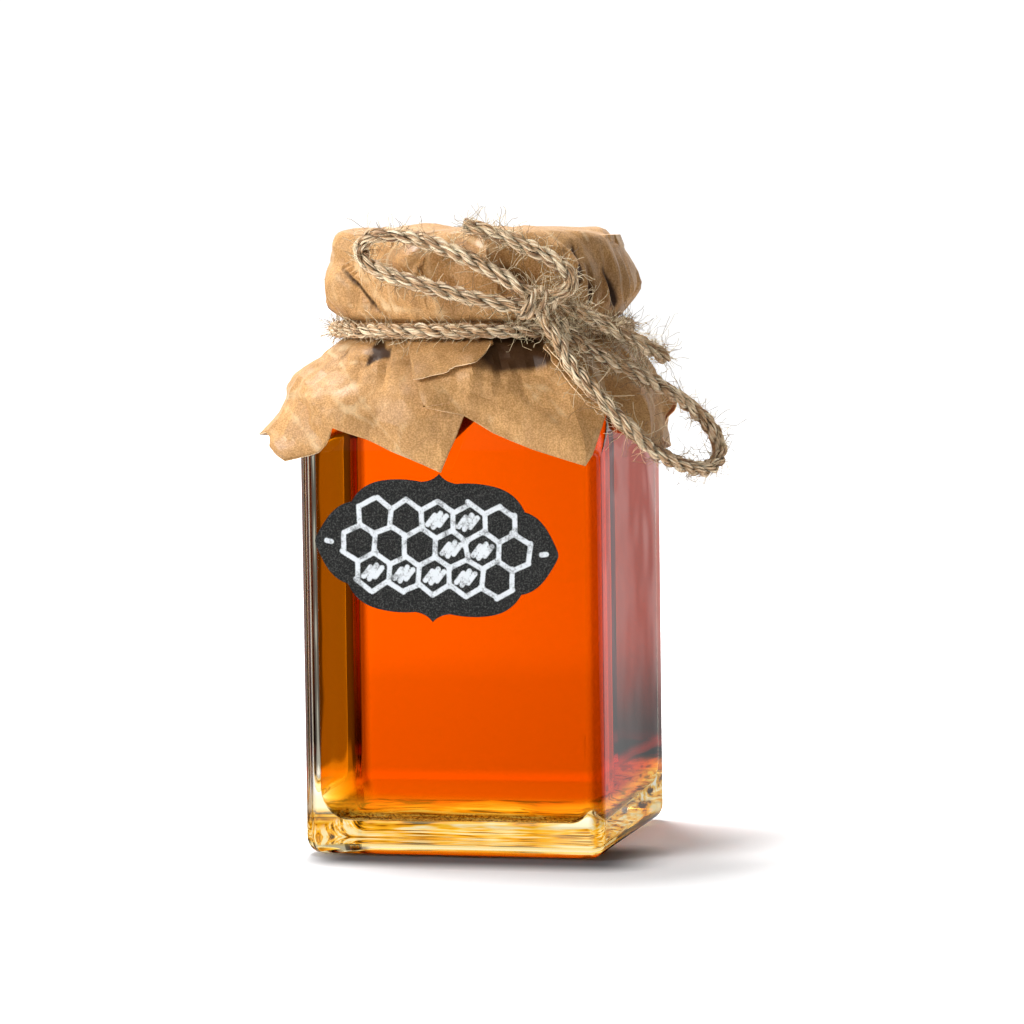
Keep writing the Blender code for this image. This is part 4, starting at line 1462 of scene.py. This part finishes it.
def fuzz():
    """Fine hairs that stand off a twine: thin lines on its surface, then bent at random."""
    numbers = {"Density": 1e5, "Shortest": 2 * MM, "Longest": 6 * MM, "Curl": 0.8}
    tree, given = geometry_tree("jute_hairs", numbers)
    scattered = add_node(
        tree,
        "GeometryNodeDistributePointsOnFaces",
        {"Mesh": given["Geometry"], "Density": given["Density"], "Seed": 3},
        distribute_method="RANDOM",
    ).outputs["Points"]

    parts = []
    for name, low, high, seed in (("outward", 0.05, 1.1, 1), ("heading", -1.3, 1.3, 2)):
        stored = add_node(
            tree, "GeometryNodeInputNamedAttribute", {"Name": name}, data_type="FLOAT_VECTOR"
        )
        inputs = {2: low, 3: high, "Seed": seed}
        lot = add_node(tree, "FunctionNodeRandomValue", inputs, data_type="FLOAT").outputs[1]
        parts.append(
            add_node(tree, "ShaderNodeVectorMath", {0: stored, "Scale": lot}, operation="SCALE")
        )
    steady = add_node(tree, "ShaderNodeVectorMath", parts, operation="ADD")
    inputs = {0: (-0.5, -0.5, -0.5), 1: (0.5, 0.5, 0.5), "Seed": 4}
    loose = add_node(tree, "FunctionNodeRandomValue", inputs, data_type="FLOAT_VECTOR")
    way = add_node(tree, "ShaderNodeVectorMath", (steady, loose), operation="ADD")
    turned = add_node(tree, "FunctionNodeAlignRotationToVector", {"Vector": way}, axis="Z")
    lots = [add_node(tree, "FunctionNodeRandomValue", {"Seed": seed}) for seed in (6, 7)]
    long, tone = (lot.outputs[1] for lot in lots)
    skewed = add_node(tree, "ShaderNodeMath", (long, 2.2), operation="POWER")
    span = add_node(tree, "ShaderNodeMath", (given["Longest"], given["Shortest"]), operation="SUBTRACT")
    longer = add_node(tree, "ShaderNodeMath", (span, skewed), operation="MULTIPLY")
    length = add_node(tree, "ShaderNodeMath", (longer, given["Shortest"]), operation="ADD")
    inputs = {"Geometry": scattered, "Name": "strand", "Value": tone}
    painted = add_node(tree, "GeometryNodeStoreNamedAttribute", inputs, data_type="FLOAT")
    line = add_node(tree, "GeometryNodeCurvePrimitiveLine", {"End": (0, 0, 1)})
    hair = add_node(tree, "GeometryNodeResampleCurve", {"Curve": line, "Count": 8})
    set_out = add_node(
        tree,
        "GeometryNodeInstanceOnPoints",
        {"Points": painted, "Instance": hair, "Rotation": turned, "Scale": length},
    )
    real = add_node(tree, "GeometryNodeRealizeInstances", {"Geometry": set_out})
    place = add_node(tree, "GeometryNodeInputPosition")
    noise = add_node(tree, "ShaderNodeTexNoise", {"Vector": place, "Scale": 230.0, "Detail": 1.0})
    centred = add_node(
        tree, "ShaderNodeVectorMath", (noise.outputs["Color"], (0.5, 0.5, 0.5)), operation="SUBTRACT"
    )
    share = add_node(tree, "GeometryNodeSplineParameter").outputs["Factor"]
    whole = add_node(tree, "GeometryNodeSplineLength").outputs["Length"]
    run = add_node(tree, "ShaderNodeMath", (share, whole), operation="MULTIPLY")
    bend = add_node(tree, "ShaderNodeMath", (run, given["Curl"]), operation="MULTIPLY")
    offset = add_node(tree, "ShaderNodeVectorMath", {0: centred, "Scale": bend}, operation="SCALE")
    bent = add_node(tree, "GeometryNodeSetPosition", {"Geometry": real, "Offset": offset})
    section = add_node(tree, "GeometryNodeCurvePrimitiveCircle", {"Resolution": 3, "Radius": 0.06 * MM})
    tube = add_node(tree, "GeometryNodeCurveToMesh", {"Curve": bent, "Profile Curve": section})
    end_tree(tree, tube, given["Finish"])
    return tree


def grown(name, mesh, tree, finish, numbers):
    """A plain mesh object of what a Geometry Nodes tree makes from a mesh."""
    made = new_object(name, mesh)
    modifier = made.modifiers.new("make", "NODES")
    modifier.node_group = tree
    items = tree.interface.items_tree
    sockets = {item.name: item.identifier for item in items if item.in_out == "INPUT"}
    modifier[sockets["Finish"]] = finish
    for label, value in numbers.items():
        modifier[sockets[label]] = value
    bpy.context.view_layer.update()
    graph = bpy.context.evaluated_depsgraph_get()
    plain = bpy.data.meshes.new_from_object(made.evaluated_get(graph))
    made.modifiers.remove(modifier)
    made.data = plain
    plain.shade_smooth()
    return made


def route_mesh(name, points, closed):
    """A mesh of edges along a route, whose points are in mm."""
    mesh = bpy.data.meshes.new(name)
    count = len(points)
    edges = [(i, (i + 1) % count) for i in range(count if closed else count - 1)]
    mesh.from_pydata([tuple(point * MM) for point in points], edges, [])
    return mesh


# %% [markdown]
# Raw jute is straw-coloured with browner and greyer fibres mixed in, and dull. In the gaps
# between strands the fibres shade one another, and that shade is painted into the strands'
# colour by how deep they lie. The strands carry numbers from the tree that made them: which
# strand, how far along, and how deep in the twine.

# %% Make the twine
JUTE_STOPS = ((0.0, "806047"), (0.42, "CDA67C"), (1.0, "FFEFCF"))


def jute_finish():
    """Straw-coloured strands, each of its own tone, with painted shade in the gaps between them."""
    made, tree = empty_material("raw_jute_fibre")
    strand = add_node(tree, "ShaderNodeAttribute", attribute_name="strand").outputs["Fac"]
    run = add_node(tree, "ShaderNodeAttribute", attribute_name="along").outputs["Fac"]
    depth = add_node(tree, "ShaderNodeAttribute", attribute_name="depth").outputs["Fac"]
    lengthwise = add_node(tree, "ShaderNodeMath", (run, 260.0), operation="MULTIPLY")
    strandwise = add_node(tree, "ShaderNodeMath", (strand, 40.0), operation="MULTIPLY")
    where = add_node(tree, "ShaderNodeCombineXYZ", {"X": lengthwise, "Y": strandwise})
    streak = add_node(tree, "ShaderNodeTexNoise", {"Vector": where, "Scale": 1.0, "Detail": 2.0})
    own = add_node(tree, "ShaderNodeMath", (strand, 0.45), operation="MULTIPLY")
    mixed = add_node(tree, "ShaderNodeMath", (own, streak), operation="ADD")
    spread = add_node(tree, "ShaderNodeMapRange", (mixed, 0.35, 1.05, 0, 1), **SMOOTH)
    shades = add_node(tree, "ShaderNodeValToRGB", (spread,))
    set_stops(shades.color_ramp, [(place, colour(hex_code)) for place, hex_code in JUTE_STOPS])
    # painted shade: the deeper a strand lies in the twine, the darker it is
    shade = add_node(tree, "ShaderNodeMapRange", (depth, 0.3, 0.85, 0.22, 1.0), **SMOOTH)
    painted = add_node(
        tree, "ShaderNodeVectorMath", {0: shades.outputs["Color"], "Scale": shade}, operation="SCALE"
    )
    shader = add_node(
        tree,
        "ShaderNodeBsdfPrincipled",
        {"Base Color": painted, "Roughness": 0.65, "Specular IOR Level": 0.35},
    )
    finish_material(tree, shader)
    return made


def hair_finish():
    """Single fibres of many tones."""
    made, tree = empty_material("loose_jute_hairs")
    strand = add_node(tree, "ShaderNodeAttribute", attribute_name="strand").outputs["Fac"]
    share = add_node(tree, "ShaderNodeMapRange", (strand, 0.15, 0.85, 0, 1), **SMOOTH)
    tone = add_node(
        tree,
        "ShaderNodeMix",
        {"Factor": share, 6: colour("8A6C4A"), 7: colour("F0DCB4")},
        data_type="RGBA",
    )
    shader = add_node(
        tree,
        "ShaderNodeBsdfPrincipled",
        {"Base Color": tone.outputs[2], "Roughness": 0.5, "Specular IOR Level": 0.4},
    )
    finish_material(tree, shader)
    return made


JUTE = jute_finish()
HAIRS = hair_finish()
twine_tree = twisted_twine()
hair_tree = fuzz()
FUZZ = {  # hairs to a square metre of strand, shortest and longest in mm, curl
    "twine_band": (1.6e5, 1.5, 6.5, 0.9),
    "twine_knot": (0.8e5, 2.5, 11.0, 1.2),
    "twine_loop_left": (1.4e5, 1.5, 6.0, 0.9),
    "twine_loop_right": (1.5e5, 1.5, 7.5, 0.9),
    "twine_tail_upper": (2.2e5, 2.0, 7.0, 1.0),
    "twine_tail_right": (3.4e5, 2.0, 8.0, 1.2),
}
for name, points in routes.items():
    closed = name == "twine_band"
    length = route_length(points) * MM
    numbers = {"Ply pitch": PLY_PITCH, "Strand pitch": STRAND_PITCH}
    if closed:
        length += np.linalg.norm(points[0] - points[-1]) * MM
        numbers = {"Ply pitch": length / BAND_PLY_TURNS, "Strand pitch": length / BAND_STRAND_TURNS}
    if name == "twine_knot":
        numbers["Slimming"] = 0.92
    line = route_mesh(name + "_route", points, closed)
    made = grown(name + "_strands", line, twine_tree, JUTE, numbers)
    density, shortest, longest, curl = FUZZ[name]
    numbers = {"Density": density, "Shortest": shortest * MM, "Longest": longest * MM, "Curl": curl}
    hairs = grown(name + "_hairs", made.data.copy(), hair_tree, HAIRS, numbers)
    for piece in (made, hairs):
        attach(piece, "root")
    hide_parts(name)
    print(name, len(made.data.polygons), "faces,", len(hairs.data.polygons), "of hairs")

# %% [markdown]
# ## Label
# The label is a matt black chalkboard sticker cut to a traditional plaque outline. Chalk lies on
# it only where the grain catches it. A line drawn as geometry would look like wire, so the
# sheet's mesh is fine enough to carry the distance to the nearest chalk stroke as a number, and
# the material breaks the stroke up with noise. The drawing is a small honeycomb.

# %% Outline of the label
LABEL_AT = (-2.7, 72.5)  # mm, across and up
LABEL_TURN = math.radians(3.3)
LABEL_FRONT, LABEL_BACK = -36.6 * MM, -36.3 * MM
LABEL_QUARTER = (  # start, lean and end of each curve from the top point to the right end, in mm
    ((0, 17.3), (1.4, 15.5), (4.2, 15.2)),
    ((4.2, 15.2), (9.0, 15.9), (13.5, 15.0)),
    ((13.5, 15.0), (18.6, 14.0), (20.8, 9.6)),
    ((20.8, 9.6), (24.4, 8.9), (26.9, 4.8)),
    ((26.9, 4.8), (29.2, 1.0), (29.2, 0)),
)
LABEL_STEPS = 12
GRAIN = 0.36  # mm between the points inside the label


def label_outline():
    """Points round the label in mm, from the top point clockwise."""
    quarter = []
    for start, lean, end in LABEL_QUARTER:
        start, lean, end = (np.array(point, float) for point in (start, lean, end))
        for share in np.arange(LABEL_STEPS) / LABEL_STEPS:
            quarter.append((1 - share) ** 2 * start + 2 * share * (1 - share) * lean + share**2 * end)
    quarter.append(np.array(LABEL_QUARTER[-1][-1], float))
    half = quarter + [point * (1, -1) for point in quarter[-2::-1]]
    return half + [point * (-1, 1) for point in half[-2:0:-1]]


# %% Chalk drawing
CELL = 4.3  # mm, side of a honeycomb cell
CHALK_HALF = 0.62  # mm, half the width of a stroke
COMB_ROWS = ((6.5, 5), (0.0, 6), (-6.5, 5))  # height and number of cells
dice = np.random.default_rng(4)


def hexagon(middle):
    """The corners of a honeycomb cell in mm, with the first one again at the end."""
    turns = np.radians(30 + 60 * np.arange(7))
    return middle + CELL * np.stack([np.cos(turns), np.sin(turns)], axis=1)


strokes = []
filled = []
for up, count in COMB_ROWS:
    for place in range(count):
        middle = np.array(((place - (count - 1) / 2) * CELL * math.sqrt(3), up))
        corners = hexagon(middle)
        for first, second in zip(corners, corners[1:]):
            drawn = any(
                np.hypot(*((first + second) / 2 - (a + b) / 2)) < 1.2 for a, b in strokes
            )
            if not drawn:
                strokes.append((first + dice.normal(0, 0.22, 2), second + dice.normal(0, 0.22, 2)))
        if dice.random() < 0.4:
            filled.append(middle)
for middle in filled:
    for step in (-1.4, 0.0, 1.4):
        reach = 1.7 - 0.4 * abs(step)
        strokes.append((middle + (step - 0.8, -reach), middle + (step + 0.8, reach)))
for side in (-1, 1):
    strokes.append((np.array((side * 25.2, 0.0)), np.array((side * 26.4, 0.2))))


def stroke_distance(points):
    """Distance in mm from each point to the nearest chalk stroke."""
    nearest = np.full(len(points), 9.0)
    for start, end in strokes:
        line = end - start
        share = np.clip((points - start) @ line / (line @ line), 0, 1)
        nearest = np.minimum(nearest, np.linalg.norm(points - start - share[:, None] * line, axis=1))
    return nearest


print(len(strokes), "chalk strokes")

# %% Make the label
outline = label_outline()
rim = [Vector(point) for point in outline]
spots = []
for x in np.arange(-29, 29, GRAIN):
    for z in np.arange(-17, 17, GRAIN):
        steps = zip(outline, outline[1:] + outline[:1])
        near = [(a, b) for a, b in steps if (a[0] > x) != (b[0] > x)]
        heights = sorted(a[1] + (b[1] - a[1]) * (x - a[0]) / (b[0] - a[0]) for a, b in near)
        if len(heights) >= 2 and heights[0] + 0.3 < z < heights[-1] - 0.3:
            spots.append(Vector((x, z)))
ring = [(i, (i + 1) % len(rim)) for i in range(len(rim))]
flat, _, triangles, *_ = delaunay_2d_cdt(rim + spots, ring, [], 1, 1e-6)
bm = bmesh.new()
sides = []
for deep in (LABEL_FRONT, LABEL_BACK):
    row = []
    for point in flat:
        x = point.x * math.cos(LABEL_TURN) + point.y * math.sin(LABEL_TURN) + LABEL_AT[0]
        z = -point.x * math.sin(LABEL_TURN) + point.y * math.cos(LABEL_TURN) + LABEL_AT[1]
        row.append(bm.verts.new((x * MM, deep, z * MM)))
    sides.append(row)
for a, b, c in triangles:
    bm.faces.new((sides[0][a], sides[0][b], sides[0][c]))
    bm.faces.new((sides[1][c], sides[1][b], sides[1][a]))
for a, b in ring:
    bm.faces.new((sides[0][a], sides[0][b], sides[1][b], sides[1][a]))
bmesh.ops.recalc_face_normals(bm, faces=bm.faces)
mesh = mesh_of(bm, "label_sticker")
chalk = mesh.attributes.new("chalk", "FLOAT", "POINT")
distances = stroke_distance(np.array([tuple(point) for point in flat]))
chalk.data.foreach_set("value", np.concatenate([distances, distances + 9]))


def chalkboard_finish():
    """Matt black with grains, and chalk where the mesh says that a stroke is near."""
    made, tree = empty_material("black_chalkboard_sticker")
    where = add_node(tree, "ShaderNodeTexCoord").outputs["Object"]
    grainy = {"Vector": where, "Detail": 2, "Roughness": 0.7}
    fine, patches = (
        add_node(tree, "ShaderNodeTexNoise", {**grainy, "Scale": scale}) for scale in (2400, 500)
    )
    share = add_node(tree, "ShaderNodeMapRange", (fine, 0.42, 0.74, 0, 1), **SMOOTH)
    black = add_node(
        tree,
        "ShaderNodeMix",
        {"Factor": share, 6: colour("191A1A"), 7: colour("4A4A48")},
        data_type="RGBA",
    )
    far = add_node(tree, "ShaderNodeAttribute", attribute_name="chalk").outputs["Fac"]
    rag = add_node(tree, "ShaderNodeMath", (fine, 0.35), operation="MULTIPLY")
    ragged = add_node(tree, "ShaderNodeMath", (far, rag), operation="ADD")
    stroke = add_node(
        tree, "ShaderNodeMapRange", (ragged, CHALK_HALF, CHALK_HALF + 0.28, 1, 0), **SMOOTH
    )
    half = add_node(tree, "ShaderNodeMath", (fine, 0.5), operation="MULTIPLY")
    grain = add_node(tree, "ShaderNodeMath", (half, patches), operation="ADD")
    caught = add_node(tree, "ShaderNodeMapRange", (grain, 0.45, 0.8, 0.25, 1), **SMOOTH)
    share = add_node(tree, "ShaderNodeMath", (stroke, caught), operation="MULTIPLY")
    painted = add_node(
        tree,
        "ShaderNodeMix",
        {"Factor": share, 6: black.outputs[2], 7: colour("D9DEE2")},
        data_type="RGBA",
    )
    bump = add_node(tree, "ShaderNodeBump", {"Distance": 0.03 * MM, "Height": fine})
    shader = add_node(
        tree,
        "ShaderNodeBsdfPrincipled",
        {
            "Base Color": painted.outputs[2],
            "Roughness": 0.75,
            "Specular IOR Level": 0.25,
            "Normal": bump,
        },
    )
    finish_material(tree, shader)
    return made


label = new_object("label_sticker", mesh, chalkboard_finish())
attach(label, "root")
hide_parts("label")
print("label:", len(mesh.polygons), "faces")

# %% [markdown]
# ## Lid
# The lid is under the paper: a plain painted tin lid. It keeps the CAD's own shape and gets only
# its finish, cream lacquer with the faint unevenness of a roller coat.

# %% Paint the lid
lacquer, tree = empty_material("cream_lacquered_tin")
where = add_node(tree, "ShaderNodeTexCoord").outputs["Object"]
coat = add_node(tree, "ShaderNodeTexNoise", {"Vector": where, "Scale": 400, "Detail": 2})
tone = add_node(
    tree, "ShaderNodeMix", {"Factor": coat, 6: colour("D8CDB4"), 7: colour("E6DDC8")}, data_type="RGBA"
)
bump = add_node(tree, "ShaderNodeBump", {"Distance": 0.01 * MM, "Height": coat})
shader = add_node(
    tree, "ShaderNodeBsdfPrincipled", {"Base Color": tone.outputs[2], "Roughness": 0.35, "Normal": bump}
)
finish_material(tree, shader)
lid = bpy.data.objects["lid"]
lid.data.materials.clear()
lid.data.materials.append(lacquer)
print("lid:", len(lid.data.polygons), "faces")
